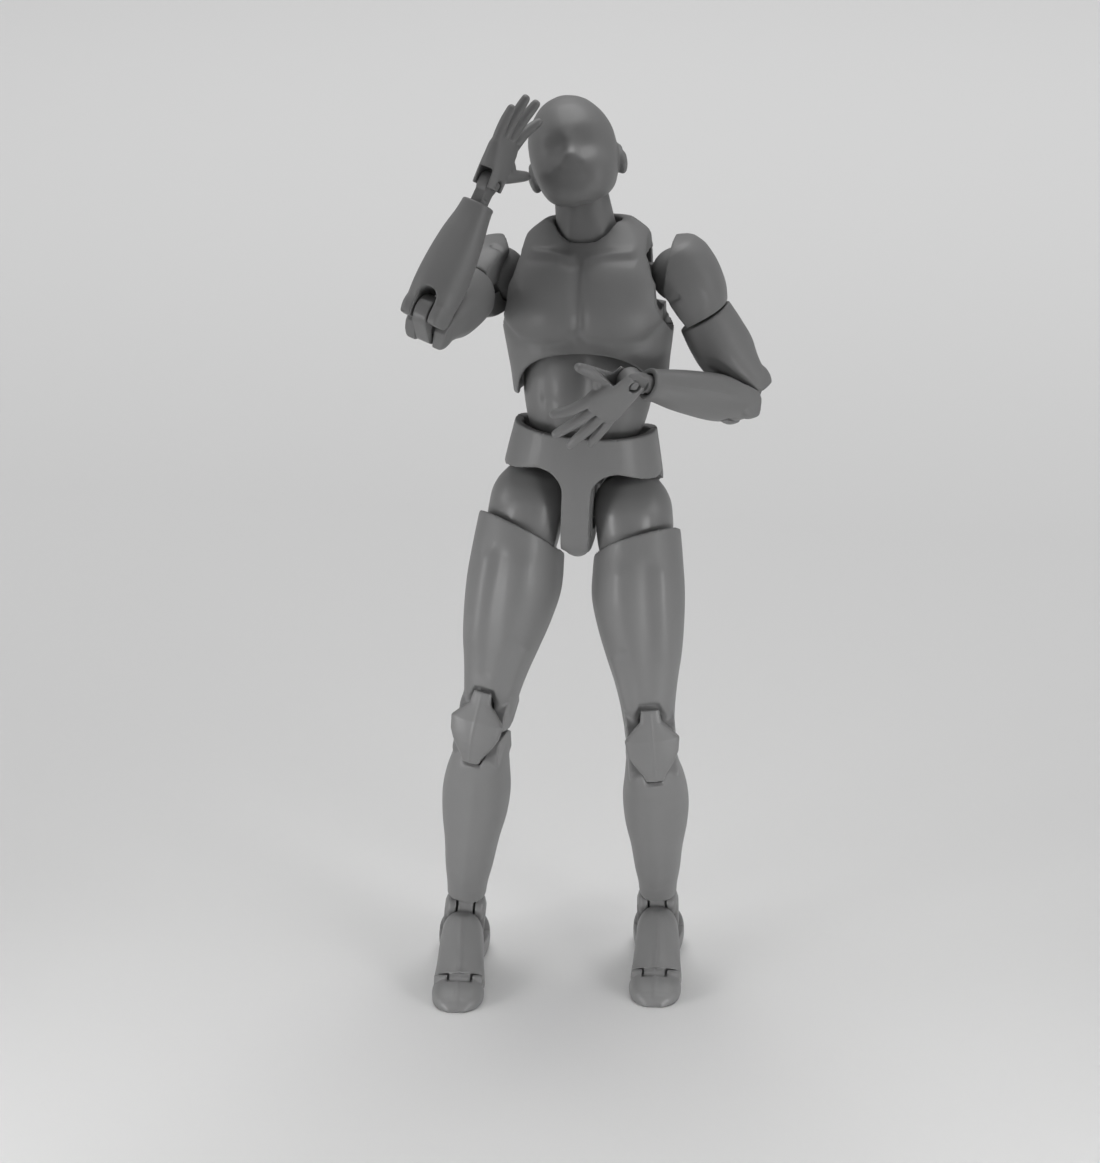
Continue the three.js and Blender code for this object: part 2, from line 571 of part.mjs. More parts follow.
// Open hand: fingers along -Z, thumb towards -Y, palm towards the body
function buildHand(group, name, s) {
  const palm = loft([
    [-7.2, -0.9, 0.9, -3.3, 3.0], [-6.3, -1.2, 1.3, -3.7, 3.4], [-4.2, -1.6, 1.6, -3.5, 3.3],
    [-1.8, -1.9, 1.9, -2.9, 2.8], [0.6, -2.0, 2.0, -2.5, 2.4],
  ], { sides: 18, power: 2.8 })
  const fingers = [
    tube(
      [[0.1, -2.6, -5.6], [-0.3, -3.8, -9.0], [-1.1, -4.9, -11.4], [-1.2, -5.1, -12.0]],
      [0.92, 0.84, 0.68, 0.36],
    ),
    tube(
      [[0.1, -0.9, -5.8], [-0.4, -1.25, -10.0], [-1.3, -1.5, -13.5], [-1.5, -1.55, -14.2]],
      [0.94, 0.86, 0.7, 0.36],
    ),
    tube(
      [[0.1, 0.9, -5.8], [-0.4, 1.5, -9.8], [-1.3, 2.1, -13.4], [-1.5, 2.2, -14.1]],
      [0.92, 0.84, 0.68, 0.36],
    ),
    tube(
      [[0.1, 2.4, -5.4], [-0.3, 3.5, -8.6], [-1.1, 4.7, -11.2], [-1.2, 5.0, -11.8]],
      [0.86, 0.78, 0.62, 0.34],
    ),
    tube(
      [[-0.4, -1.4, -1.8], [-0.9, -4.6, -2.6], [-1.2, -7.9, -3.5], [-1.25, -8.6, -3.7]],
      [1.4, 1.05, 0.75, 0.4],
    ),
  ]
  const body = cut(
    join(palm, ...fingers),
    block(-wristPlate - gap, wristPlate + gap, -9, 9, -wristDiscR - gap, 5),
    rod('x', 0.7 + gap, -1.7 - gap, 1.7 + gap, [0, 0, 0], 12),
  )
  piece(group, name, mirror(body, s))
}

// One leg
function buildHipPeg(group, name, s) {
  const body = join(
    rod('x', hipShaftR, 0.6 - hipX, 0, [0, 0, 0], 12),
    rod('y', hipDiscR, -1.1, 1.1, [0, 0, 0], 12),
    rod('y', pinR, -3.4, 3.4, [0, 0, 0], 12),
  )
  piece(group, name, mirror(body, s), jointGrey)
}

const hipRings = [
  [-9.4, 2.6], [-8.4, 4.0], [-6.6, 5.3], [-4.0, 6.2], [-1.4, hipBallR],
  [1.4, 6.2], [3.8, 5.1], [5.4, 3.6], [6.2, 1.8],
]
const hipBead = (room) => loft(hipRings.map(([z, r]) => {
  const wide = r + room
  return [z + room * Math.sign(z + 2), -wide, wide, -wide, wide]
}), { sides: 18, power: 2 })

function buildHipBall(group, name, s) {
  const slot = hipShaftR + gap
  const body = cut(
    join(hipBead(0), rod('z', postR, -13, -4, [0, 0, 0], 12)),
    block(-9, -hipFlat, -9, 9, -9, 9),
    rod('y', hipDiscR + gap, -slot, slot, [0, 0, 0], 12),
    block(-9, 0, -slot, slot, -slot - 0.6, 9),
    block(-9, slot, -slot, slot, 0, 9),
    rod('y', pinR + gap, -3.4 - gap, 3.4 + gap, [0, 0, 0], 12),
  )
  piece(group, name, mirror(body, s), jointGrey)
}

const kneePinZ = -(thighLength - kneeHalf)

function buildThigh(group, s, side) {
  const outer = loft([
    [kneePinZ, -3.9, 4.0, -3.8, 4.2], [kneePinZ + 3.4, -4.2, 4.4, -4.9, 4.6], [-27.0, -4.8, 5.1, -5.7, 5.2],
    [-23.0, -5.7, 6.0, -6.6, 5.9], [-18.0, -6.7, 6.8, -7.3, 6.8], [-13.0, -7.2, 7.3, -7.7, 7.4],
    [-8.5, -6.6, 7.4, -7.7, 7.7], [-4.0, -5.8, 7.4, -7.5, 7.6], [1.6, -5.3, 7.2, -7.3, 7.2],
  ], { sides: 18 })
  const slant = block(-30, 30, -30, 30, 0, 30).rotate([-20, -10, 0]).translate([0, 0, -5.2])
  const body = cut(
    join(outer, rod('x', kneeEndR, -3.8, 3.9, [0, 0, kneePinZ], 16)),
    slant,
    hipBead(gap),
    rod('z', postR + gap, -13 - gap, -4, [0, 0, 0], 12),
    bendCut(kneePinZ, kneeHalf, 1, 1),
    block(-kneePlate / 2 - gap, kneePlate / 2 + gap, -12, 12, kneePinZ - 8, kneePinZ + kneeEndR + 0.4),
    rod('x', pinR + seam, -9, 9, [0, 0, kneePinZ], 12),
    loft([
      [kneePinZ - 6, -4.9, 4.9, -12, -3.6], [kneePinZ + 1.4, -4.7, 4.7, -12, -3.6],
      [kneePinZ + 3.2, -2.2, 2.2, -12, -4.0], [kneePinZ + 4.7, -1.7, 1.7, -12, -4.2],
    ], { sides: 12, power: 6 }),
  )
  piece(group, `${side}_thigh`, mirror(body, s))
  const pin = rod('x', pinR, -3.5, 3.6, [0, 0, kneePinZ], 12)
  piece(group, `${side}_knee_upper_pin`, mirror(pin, s), jointGrey)
}

function buildKneeLink(group, side) {
  const plate = kneePlate / 2
  const r = 3.4
  const low = -2 * kneeHalf
  const link = cut(
    join(
      rod('x', r, -plate, plate, [0, 0, 0], 16),
      rod('x', r, -plate, plate, [0, 0, low], 16),
      block(-plate, plate, -r, r, low, 0),
    ),
    rod('x', pinR + gap, -9, 9, [0, 0, 0], 12),
    rod('x', pinR + gap, -9, 9, [0, 0, low], 12),
  )
  piece(group, `${side}_knee_link`, link, jointGrey)
  const cap = loft([
    [low - 2.4, -1.4, 1.4, -5.5, -4.3], [low - 1.3, -1.8, 1.8, -5.9, -4.2],
    [low - 0.1, -2.6, 2.6, -6.3, -4.0],
    [-kneeHalf, -4.0, 4.0, -6.5, -4.0], [-0.4, -4.3, 4.3, -6.4, -4.0], [1.4, -2.7, 2.7, -6.0, -4.0],
    [2.4, -1.7, 1.7, -5.8, -4.2], [4.4, -1.4, 1.4, -5.4, -4.4],
  ], { sides: 16, power: 3.4 })
  const stalk = block(-plate, plate, -4.6, -r - seam, low + 0.4, -0.4)
  piece(group, `${side}_knee_cap`, join(cap, stalk))
}

const ankleZ = -(shinLength - kneeHalf)

function buildShin(group, s, side) {
  const outer = loft([
    [ankleZ + earR + 0.5, -2.9, 3.1, -3.0, 3.1], [ankleZ + 5.0, -3.0, 3.3, -3.3, 3.4],
    [-24.5, -3.4, 3.8, -3.8, 4.1],
    [-19.0, -3.9, 4.5, -4.3, 5.2], [-14.0, -4.6, 5.4, -4.7, 6.2], [-9.5, -4.7, 5.7, -4.8, 6.3],
    [-5.5, -4.3, 5.2, -4.8, 5.6], [-3.0, -4.1, 4.6, -4.7, 4.9], [0, -3.8, 4.0, -3.8, 4.2],
  ], { sides: 18 })
  const body = cut(
    join(outer, rod('x', kneeEndR, -3.8, 3.9, [0, 0, 0], 16)),
    bendCut(0, kneeHalf, -1, 1),
    block(-kneePlate / 2 - gap, kneePlate / 2 + gap, -12, 12, -kneeEndR - 0.4, 8),
    rod('x', pinR + seam, -9, 9, [0, 0, 0], 12),
    loft([
      [-3.9, -1.9, 1.9, -12, -4.2], [-2.6, -2.3, 2.3, -12, -4.0],
      [-0.9, -4.7, 4.7, -12, -3.6], [6, -4.9, 4.9, -12, -3.6],
    ], { sides: 12, power: 6 }),
    rod('z', wristShaftR + gap, ankleZ - 1, ankleZ + 9.5, [0, 0, 0], 16),
    rod('x', barrelR + gap, -9, 9, [0, 0, ankleZ], 16),
  )
  piece(group, `${side}_shin`, mirror(body, s))
  piece(group, `${side}_knee_lower_pin`, mirror(rod('x', pinR, -3.5, 3.6, [0, 0, 0], 12), s), jointGrey)
}

function buildAnklePost(group, name) {
  const w = anklePost / 2
  const body = cut(
    join(
      rod('z', wristShaftR, 0, 9.5 - gap, [0, 0, 0], 16).intersect(block(-9, 9, -9, 9, 1, 20)),
      block(-w, w, -1.4, 1.4, 0, 2.4),
      rod('x', barrelR, -w, w, [0, 0, 0], 12),
    ),
    rod('x', pinR + gap, -9, 9, [0, 0, 0], 12),
  )
  piece(group, name, body, jointGrey)
}

function buildAnkleYoke(group, name) {
  const inner = anklePost / 2 + gap
  const outer = inner + earWidth
  const body = join(
    rod('x', earR, inner, outer, [0, 0, 0], 16),
    rod('x', earR, -outer, -inner, [0, 0, 0], 16),
    rod('x', pinR, -outer, outer, [0, 0, 0], 12),
    block(-outer, outer, -1.6, 1.6, -rollDrop - 0.7, -barrelR - gap),
    block(inner, outer, -1.6, 1.6, -rollDrop, 0),
    block(-outer, -inner, -1.6, 1.6, -rollDrop, 0),
    rod('y', pinR, -4.9, 4.9, [0, 0, -rollDrop], 12),
  )
  piece(group, name, body, jointGrey)
}

const soleZ = -(ankleHeight - rollDrop)
const toeZ = soleZ + toeHeight

function buildFoot(group, s, side) {
  const outer = loft([
    [6.6, -2.4, 2.4, soleZ - 1.0, -1.8], [5.7, -3.5, 3.5, soleZ - 1.6, -0.4],
    [3.6, -4.1, 4.1, soleZ - 2.0, 1.2],
    [0.0, -3.9, 4.0, soleZ - 2.0, 2.0], [-3.0, -3.4, 3.5, soleZ - 2.0, 3.6],
    [-4.4, -3.4, 3.6, soleZ - 2.0, 3.4],
    [-6.2, -3.5, 3.8, soleZ - 2.0, 1.8], [-8.4, -3.7, 4.0, soleZ - 2.0, -0.3],
    [-11.0, -3.9, 4.3, soleZ - 2.0, -2.2],
    [-footFront, -3.9, 4.3, soleZ - 2.0, -2.8],
  ], { along: 'y', sides: 16, power: 2.4 })
  const tabR = toeHeight - 0.1
  const tab = join(
    block(-1.7, 1.7, -footFront, -10, toeZ - tabR, toeZ + tabR),
    rod('x', tabR, -1.7, 1.7, [0, -footFront, toeZ], 16),
  )
  const body = cut(
    join(cut(
      outer,
      block(-9, 9, -30, 30, -20, soleZ),
      rod('x', toeHeight + gap, -9, 9, [0, -footFront, toeZ], 16),
      block(-9, 9, -30, -footFront, -20, 20),
    ), tab),
    block(-9, 9, -earR - gap, earR + gap, -2.4, 9),
    rod('y', pinR + gap, -4.9 - gap, 4.9 + gap, [0, 0, 0], 12),
    rod('x', 0.7 + seam, -9, 9, [0, -footFront, toeZ], 12),
  )
  piece(group, `${side}_foot`, mirror(body, s))
  piece(group, `${side}_toe_pin`, mirror(rod('x', 0.7, -3.3, 3.7, [0, -footFront, toeZ], 12), s), jointGrey)
}

// Toe cap: two lugs on the foot's tab; its origin is the toe pin
function buildToe(group, name, s) {
  const floor = -toeHeight
  const outer = loft([
    [0, -3.9, 4.3, floor - 1.2, toeHeight], [-2.6, -3.9, 4.3, floor - 1.2, 1.4],
    [-4.8, -3.3, 3.8, floor - 1.2, 0.9],
    [-6.3, -2.3, 2.8, floor - 1.0, 0.2], [-7.1, -1.1, 1.6, floor - 0.8, -0.7],
  ], { along: 'y', sides: 16, power: 2.8 })
  const body = cut(
    join(outer, rod('x', toeHeight, -3.7, 4.1, [0, 0, 0], 16)),
    block(-9, 9, -30, 30, -20, floor),
    block(-1.7 - gap, 1.7 + gap, -toeHeight - gap, 9, -9, 9),
    rod('x', 0.7 + gap, -9, 9, [0, 0, 0], 12),
  )
  piece(group, name, mirror(body, s))
}

// The figure, hung from the pelvis
const figure = new THREE.Group()
figure.name = 'body_figure'
const pelvis = hinge(figure, 'pelvis', [0, 0, 0], 'x', rest.pelvisPitch)
pelvis.rotation.y = THREE.MathUtils.degToRad(rest.pelvisRoll)
buildPelvis(pelvis)
const waist = hinge(pelvis, 'waist_twist', [0, 0.3, twistZ], 'z', rest.waistTwist)
buildWaistPost(waist)
const abdomen = hinge(waist, 'waist_bend', [0, 0, waistZ - twistZ], 'x', rest.waistBend)
buildAbdomen(abdomen)
const chestPost = hinge(abdomen, 'chest_side', [0, 0, leanZ], 'y', rest.chestSide)
buildChestPost(chestPost)
const chest = hinge(chestPost, 'chest_bend', [0, 0, chestZ], 'x', rest.chestBend)
buildChest(chest)
const neckBall = hinge(chest, 'neck_lean', [0, neckY, neckZ], 'y', rest.neckLean)
buildNeckBall(neckBall)
const neck = hinge(neckBall, 'neck_turn', [0, 0, 0], 'z', rest.neckTurn)
buildNeck(neck)
const headPost = hinge(neck, 'head_nod', [0, 0, nodZ], 'x', rest.headNod)
buildHeadPost(headPost)
const head = hinge(headPost, 'head_tilt', [0, 0, tiltZ], 'y', rest.headTilt)
buildHead(head)

for (const [s, side] of [[-1, 'right'], [1, 'left']]) {
  const pose = rest[side]
  const link = hinge(chest, `${side}_shoulder_fly`, [s * flyX, shoulderY, shoulderZ], 'z', s * pose.fly)
  buildShoulderLink(link, `${side}_shoulder_link`, s)
  const shoulder = hinge(link, `${side}_shoulder_swing`, [s * shoulderReach, 0, 0], 'x', pose.armSwing)
  buildShoulderBall(shoulder, `${side}_shoulder_ball`, s)
  const deltoid = hinge(shoulder, `${side}_shoulder_raise`, [0, 0, 0], 'y', -s * pose.raise)
  buildDeltoid(deltoid, `${side}_deltoid`, s)
  const arm = hinge(deltoid, `${side}_arm_swivel`, [0, 0, 0], 'z', s * pose.swivel)
  buildUpperArm(arm, s, side)
  const elbow = hinge(arm, `${side}_elbow_upper`, [0, 0, elbowPinZ], 'x', -pose.elbow / 2)
  buildElbowLink(elbow, `${side}_elbow_link`)
  const forearm = hinge(elbow, `${side}_elbow_lower`, [0, 0, -2 * elbowHalf], 'x', -pose.elbow / 2)
  buildForearm(forearm, s, side)
  const wrist = hinge(forearm, `${side}_wrist_twist`, [0, 0, wristZ], 'z', s * pose.wristTwist)
  buildWristPeg(wrist, `${side}_wrist_peg`)
  const hand = hinge(wrist, `${side}_wrist_bend`, [0, 0, 0], 'x', pose.wristBend)
  buildHand(hand, `${side}_hand`, s)
}

// Bends a knee, lays that foot flat and tells how high the foot then is
function bendKnee(leg, s, footYaw, degrees) {
  leg.knee.rotation.x = THREE.MathUtils.degToRad(degrees * upperShare)
  leg.shin.rotation.x = THREE.MathUtils.degToRad(degrees * (1 - upperShare))
  figure.updateMatrixWorld(true)
  const flat = new THREE.Quaternion()
  flat.setFromAxisAngle(new THREE.Vector3(0, 0, 1), THREE.MathUtils.degToRad(s * footYaw))
  const turn = leg.shin.getWorldQuaternion(new THREE.Quaternion()).invert().multiply(flat)
  const ankle = new THREE.Euler().setFromQuaternion(turn, 'ZXY')
  leg.post.rotation.z = ankle.z
  leg.yoke.rotation.x = ankle.x
  leg.foot.rotation.y = ankle.y
  figure.updateMatrixWorld(true)
  return leg.foot.getWorldPosition(new THREE.Vector3()).z
}

let ground = null
for (const [s, side] of [[-1, 'right'], [1, 'left']]) {
  const pose = rest[side]
  const peg = hinge(pelvis, `${side}_hip_swing`, [s * hipX, 0, 0], 'x', pose.swing)
  buildHipPeg(peg, `${side}_hip_peg`, s)
  const hip = hinge(peg, `${side}_hip_spread`, [0, 0, 0], 'y', -s * pose.spread)
  buildHipBall(hip, `${side}_hip_ball`, s)
  const thigh = hinge(hip, `${side}_thigh_turn`, [0, 0, 0], 'z', s * pose.turn)
  buildThigh(thigh, s, side)
  const knee = hinge(thigh, `${side}_knee_upper`, [0, 0, kneePinZ], 'x', 0)
  buildKneeLink(knee, side)
  const shin = hinge(knee, `${side}_knee_lower`, [0, 0, -2 * kneeHalf], 'x', 0)
  buildShin(shin, s, side)
  const post = hinge(shin, `${side}_ankle_turn`, [0, 0, ankleZ], 'z', 0)
  buildAnklePost(post, `${side}_ankle_post`)
  const yoke = hinge(post, `${side}_ankle_pitch`, [0, 0, 0], 'x', 0)
  buildAnkleYoke(yoke, `${side}_ankle_yoke`)
  const foot = hinge(yoke, `${side}_ankle_roll`, [0, 0, -rollDrop], 'y', 0)
  buildFoot(foot, s, side)
  const toe = hinge(foot, `${side}_toe`, [0, -footFront, toeZ], 'x', 0)
  buildToe(toe, `${side}_toe_cap`, s)

  // The second knee bends until both soles are level
  const leg = { knee, shin, post, yoke, foot }
  let [low, high] = ground === null ? [pose.knee, pose.knee] : [0, 60]
  for (let k = 0; k < 40; k += 1) {
    const z = bendKnee(leg, s, pose.footYaw, (low + high) / 2)
    if (ground === null) ground = z
    else if (z < ground) low = (low + high) / 2
    else high = (low + high) / 2
    if (low === high) break
  }
}

// Stand it on z = 0, centred over the middle of its box
figure.updateMatrixWorld(true)
const box = new THREE.Box3().setFromObject(figure, true)
const middle = box.getCenter(new THREE.Vector3())
pelvis.position.set(-middle.x, -middle.y, -box.min.z)
figure.updateMatrixWorld(true)

export default figure
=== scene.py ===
# Poseable blank body figure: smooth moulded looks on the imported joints
import json
import math
import bpy
import bmesh
import numpy as np
from mathutils import Matrix, Vector


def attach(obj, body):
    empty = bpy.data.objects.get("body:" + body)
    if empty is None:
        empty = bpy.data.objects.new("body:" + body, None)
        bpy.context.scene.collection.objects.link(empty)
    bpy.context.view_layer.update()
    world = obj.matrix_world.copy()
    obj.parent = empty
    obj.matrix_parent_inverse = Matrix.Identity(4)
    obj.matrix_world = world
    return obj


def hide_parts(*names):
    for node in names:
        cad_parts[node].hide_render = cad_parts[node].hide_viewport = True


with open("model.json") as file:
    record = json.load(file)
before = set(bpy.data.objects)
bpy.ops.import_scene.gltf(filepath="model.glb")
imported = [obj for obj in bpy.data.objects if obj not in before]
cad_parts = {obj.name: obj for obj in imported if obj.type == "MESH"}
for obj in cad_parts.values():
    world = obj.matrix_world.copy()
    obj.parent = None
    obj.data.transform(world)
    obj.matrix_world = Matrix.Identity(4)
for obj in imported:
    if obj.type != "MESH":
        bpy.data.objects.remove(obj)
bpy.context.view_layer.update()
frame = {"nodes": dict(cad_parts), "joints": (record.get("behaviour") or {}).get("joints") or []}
scene = bpy.context.scene
coarse = 1.0
hinges = {j["name"]: j for j in frame["joints"]}


# Surfaces
def linear(code):  # hex sRGB to linear
    parts = [int(code[i:i + 2], 16) / 255 for i in (1, 3, 5)]
    return tuple(c / 12.92 if c <= 0.04045 else ((c + 0.055) / 1.055) ** 2.4 for c in parts) + (1.0,)


def addNode(tree, kind, values=None, links=None):
    node = tree.nodes.new(kind)
    for key, value in (values or {}).items():
        if key in node.inputs:
            node.inputs[key].default_value = value
        else:
            setattr(node, key, value)
    for key, source in (links or {}).items():
        tree.links.new(source, node.inputs[key])
    return node


def perMetre(size):  # noise scale for a pattern of that many millimetres
    return 1000.0 / size


mixLow, mixHigh, mixOut = 6, 7, 2  # colour sockets of a Mix node
plastic = {"ior": 1.45, "sheenRough": 0.14, "grainDepth": 0.00005, "cloudDetail": 3.0, "wearDetail": 5.0,
           "grainDetail": 2.0}
# Satin moulded PVC: broad soft highlights and a faint mottling, with sizes in mm. The grain is drawn
# coarser than a mould leaves it, so that it shows.
shellLook = {"dark": "#6b6b6b", "pale": "#737373", "cloud": 9.0, "wear": 3.0, "rough": (0.48, 0.58),
             "grain": 0.16, "relief": 0.12, "sheen": 0.07}
# Smooth moulded ABS: the same grey with tighter highlights on the joint pieces
jointLook = {"dark": "#686868", "pale": "#707070", "cloud": 7.0, "wear": 2.0, "rough": (0.40, 0.50),
             "grain": 0.12, "relief": 0.08, "sheen": 0.14}


def mouldedPlastic(name, look):
    surface = bpy.data.materials.new(name)
    surface.use_nodes = True
    tree = surface.node_tree
    shader = tree.nodes["Principled BSDF"]
    spot = {"Vector": addNode(tree, "ShaderNodeTexCoord").outputs["Object"]}
    cloud = addNode(tree, "ShaderNodeTexNoise",
                    {"Scale": perMetre(look["cloud"]), "Detail": plastic["cloudDetail"]}, spot)
    tint = addNode(tree, "ShaderNodeMix", {"data_type": "RGBA"}, {"Factor": cloud.outputs["Fac"]})
    tint.inputs[mixLow].default_value = linear(look["dark"])
    tint.inputs[mixHigh].default_value = linear(look["pale"])
    tree.links.new(tint.outputs[mixOut], shader.inputs["Base Color"])
    wear = addNode(tree, "ShaderNodeTexNoise",
                   {"Scale": perMetre(look["wear"]), "Detail": plastic["wearDetail"]}, spot)
    gloss = addNode(tree, "ShaderNodeMapRange", {"To Min": look["rough"][0], "To Max": look["rough"][1]},
                    {"Value": wear.outputs["Fac"]})
    tree.links.new(gloss.outputs["Result"], shader.inputs["Roughness"])
    grain = addNode(tree, "ShaderNodeTexNoise",
                    {"Scale": perMetre(look["grain"]), "Detail": plastic["grainDetail"]}, spot)
    bump = addNode(tree, "ShaderNodeBump", {"Strength": look["relief"], "Distance": plastic["grainDepth"]},
                   {"Height": grain.outputs["Fac"]})
    tree.links.new(bump.outputs["Normal"], shader.inputs["Normal"])
    shader.inputs["IOR"].default_value = plastic["ior"]
    shader.inputs["Coat Weight"].default_value = look["sheen"]
    shader.inputs["Coat Roughness"].default_value = plastic["sheenRough"]
    return surface


surfaces = {
    "shell_plastic": mouldedPlastic("satin_moulded_pvc", shellLook),
    "joint_plastic": mouldedPlastic("smooth_moulded_abs", jointLook),
}

# Drawing tools, all in millimetres
fine = {"ballAround": 64, "ballAlong": 40, "rod": 64, "loft": 72, "finger": 28, "pin": 40}
turnTo = {"x": Matrix.Rotation(math.pi / 2, 4, "Y"), "y": Matrix.Rotation(-math.pi / 2, 4, "X"),
          "z": Matrix.Identity(4)}
oval = 2  # loft power of a true ellipse, more is squarer
mm = 0.001  # in metres


def meshed(bm):
    bmesh.ops.recalc_face_normals(bm, faces=bm.faces)
    mesh = bpy.data.meshes.new("tool")
    bm.to_mesh(mesh)
    bm.free()
    return mesh


def ball(radius, at=(0, 0, 0), stretch=(1, 1, 1), turn=None):
    bm = bmesh.new()
    spot = Matrix.Translation(at) @ (turn or Matrix.Identity(4)) @ Matrix.Diagonal((*stretch, 1))
    bmesh.ops.create_uvsphere(bm, u_segments=fine["ballAround"], v_segments=fine["ballAlong"],
                              radius=radius, matrix=spot)
    return meshed(bm)


def rod(along, radius, low, high, at=(0, 0, 0), sides=fine["rod"]):
    bm = bmesh.new()
    spot = Matrix.Translation(at) @ turnTo[along] @ Matrix.Translation((0, 0, (low + high) / 2))
    bmesh.ops.create_cone(bm, cap_ends=True, segments=sides, radius1=radius, radius2=radius,
                          depth=high - low, matrix=spot)
    return meshed(bm)


def domed(radius, low, high, at=(0, 0, 0), rise=1.0):  # a thick disc on the x axis with domed ends
    ends = [ball(1, (at[0] + x, *at[1:]), (rise, radius, radius)) for x in (low + rise, high - rise)]
    return [rod("x", radius, low + rise, high - rise, at), *ends]


def block(x0, x1, y0, y1, z0, z1):
    bm = bmesh.new()
    spot = Matrix.Translation(((x0 + x1) / 2, (y0 + y1) / 2, (z0 + z1) / 2))
    bmesh.ops.create_cube(bm, size=1, matrix=spot @ Matrix.Diagonal((x1 - x0, y1 - y0, z1 - z0, 1)))
    return meshed(bm)


def slab(outline, y0, y1):  # outline of x and z, pushed along y
    bm = bmesh.new()
    face = bm.faces.new([bm.verts.new((x, y0, z)) for x, z in outline])
    made = bmesh.ops.extrude_face_region(bm, geom=[face])["geom"]
    moved = [v for v in made if isinstance(v, bmesh.types.BMVert)]
    bmesh.ops.translate(bm, verts=moved, vec=(0, y1 - y0, 0))
    return meshed(bm)


def between(rows, pitch):  # fills a smooth curve in between the drawn sections
    rows = np.array(rows, float)
    slope = np.gradient(rows, rows[:, 0], axis=0)
    filled = []
    for i in range(len(rows) - 1):
        span = rows[i + 1, 0] - rows[i, 0]
        count = max(1, round(abs(span) / pitch))
        for t in np.arange(count) / count:
            start, end = 2 * t**3 - 3 * t**2 + 1, 3 * t**2 - 2 * t**3
            leave, arrive = (t**3 - 2 * t**2 + t) * span, (t**3 - t**2) * span
            filled.append(start * rows[i] + end * rows[i + 1] + leave * slope[i] + arrive * slope[i + 1])
    return filled + [rows[-1]]


def nextRing(bm, ring):  # extrudes a closed ring and gives the new one in the same order
    edges = [bm.edges.get(ends) for ends in zip(ring, ring[1:] + ring[:1])]
    made = set(bmesh.ops.extrude_edge_only(bm, edges=edges)["geom"])
    return [next(e.other_vert(v) for e in v.link_edges if e.other_vert(v) in made) for v in ring]


def loft(rows, along="z", power=2.4, pitch=0.6):  # a row: level, low and high across, low and high deep
    bm = bmesh.new()
    ring = bmesh.ops.create_circle(bm, segments=fine["loft"], radius=1)["verts"]
    first = ring
    turns = [math.atan2(v.co.y, v.co.x) for v in ring]
    for i, (level, a0, a1, b0, b1) in enumerate(between(rows, pitch)):
        if i:
            ring = nextRing(bm, ring)
        for v, turn in zip(ring, turns):
            c, s = math.cos(turn), math.sin(turn)
            u = (a0 + a1) / 2 + (a1 - a0) / 2 * math.copysign(abs(c) ** (2 / power), c)
            w = (b0 + b1) / 2 + (b1 - b0) / 2 * math.copysign(abs(s) ** (2 / power), s)
            v.co = (u, w, level) if along == "z" else (u, level, w)
    bm.faces.new(first)
    bm.faces.new(ring)
    return meshed(bm)


def finger(path, radii, pitch=0.12):  # a tube with a round tip
    bm = bmesh.new()
    spots = between([(i, *p, r) for i, (p, r) in enumerate(zip(path, radii))], pitch)
    points = [Vector(s[1:4]) for s in spots]
    ring = bmesh.ops.create_circle(bm, segments=fine["finger"], radius=1)["verts"]
    first = ring
    shape = [v.co.copy() for v in ring]
    for i, point in enumerate(points):
        if i:
            ring = nextRing(bm, ring)
        ahead = points[min(i + 1, len(points) - 1)] - points[max(i - 1, 0)]
        turn = ahead.to_track_quat("Z", "Y")
        for v, at in zip(ring, shape):
            v.co = point + turn @ (at * spots[i][4])
    bm.faces.new(first)
    bm.faces.new(ring)
    return meshed(bm)


def turned(mesh, matrix):
    mesh.transform(matrix)
    return mesh


# Room for the other limb of a double hinge: below it with a way of 1, above it with -1
def bendRoom(z, half, way, flex, most=70, gap=0.15, far=30):
    tools = []
    for share in (0, 0.5, 1):
        tool = block(-far, far, -far, far, -far, -half + gap)
        tool.transform(Matrix.Rotation(math.radians(flex * most * share), 4, "X"))
        tool.transform(Matrix.Translation((0, 0, z)) @ Matrix.Diagonal((1, 1, way, 1)))
        if way < 0:
            tool.flip_normals()
        tools.append(tool)
    return tools


def loose(mesh):
    thing = bpy.data.objects.new("tool", mesh)
    scene.collection.objects.link(thing)
    return thing


def carve(join, cut=(), voxel=0.24, soften=5):  # joins, cuts, then melts the edges like a moulding
    things = [loose(mesh) for mesh in (*join, *cut)]
    base = things[0]
    for i, thing in enumerate(things[1:], 1):
        step = base.modifiers.new("step", "BOOLEAN")
        step.operation = "UNION" if i < len(join) else "DIFFERENCE"
        step.solver = "MANIFOLD"
        step.object = thing
    grid = base.modifiers.new("grid", "REMESH")
    grid.mode = "VOXEL"
    grid.voxel_size = voxel * coarse
    soft = base.modifiers.new("soft", "SMOOTH")
    soft.factor = 0.5
    soft.iterations = max(1, round(soften / coarse))
    mesh = bpy.data.meshes.new_from_object(base.evaluated_get(bpy.context.evaluated_depsgraph_get()))
    for thing in things:
        bpy.data.meshes.remove(thing.data)
    return mesh


# Sculpting: a mark is a drawn line on one face, its width and how far it lifts
facing = {"front": (1, -1, (0, 2)), "back": (1, 1, (0, 2)), "left": (0, 1, (1, 2)), "right": (0, -1, (1, 2)),
          "top": (2, 1, (0, 1))}  # depth axis, its sign, and the two axes drawn on
tiny = 1e-9  # keeps a division safe


def farFrom(points, line):
    nearest = np.full(len(points), np.inf)
    for a, b in zip(line, line[1:] or line):
        a, b = np.array(a, float), np.array(b, float)
        along = np.clip((points - a) @ (b - a) / max((b - a) @ (b - a), tiny), 0, 1)
        nearest = np.minimum(nearest, np.linalg.norm(points - a - along[:, None] * (b - a), axis=1))
    return nearest


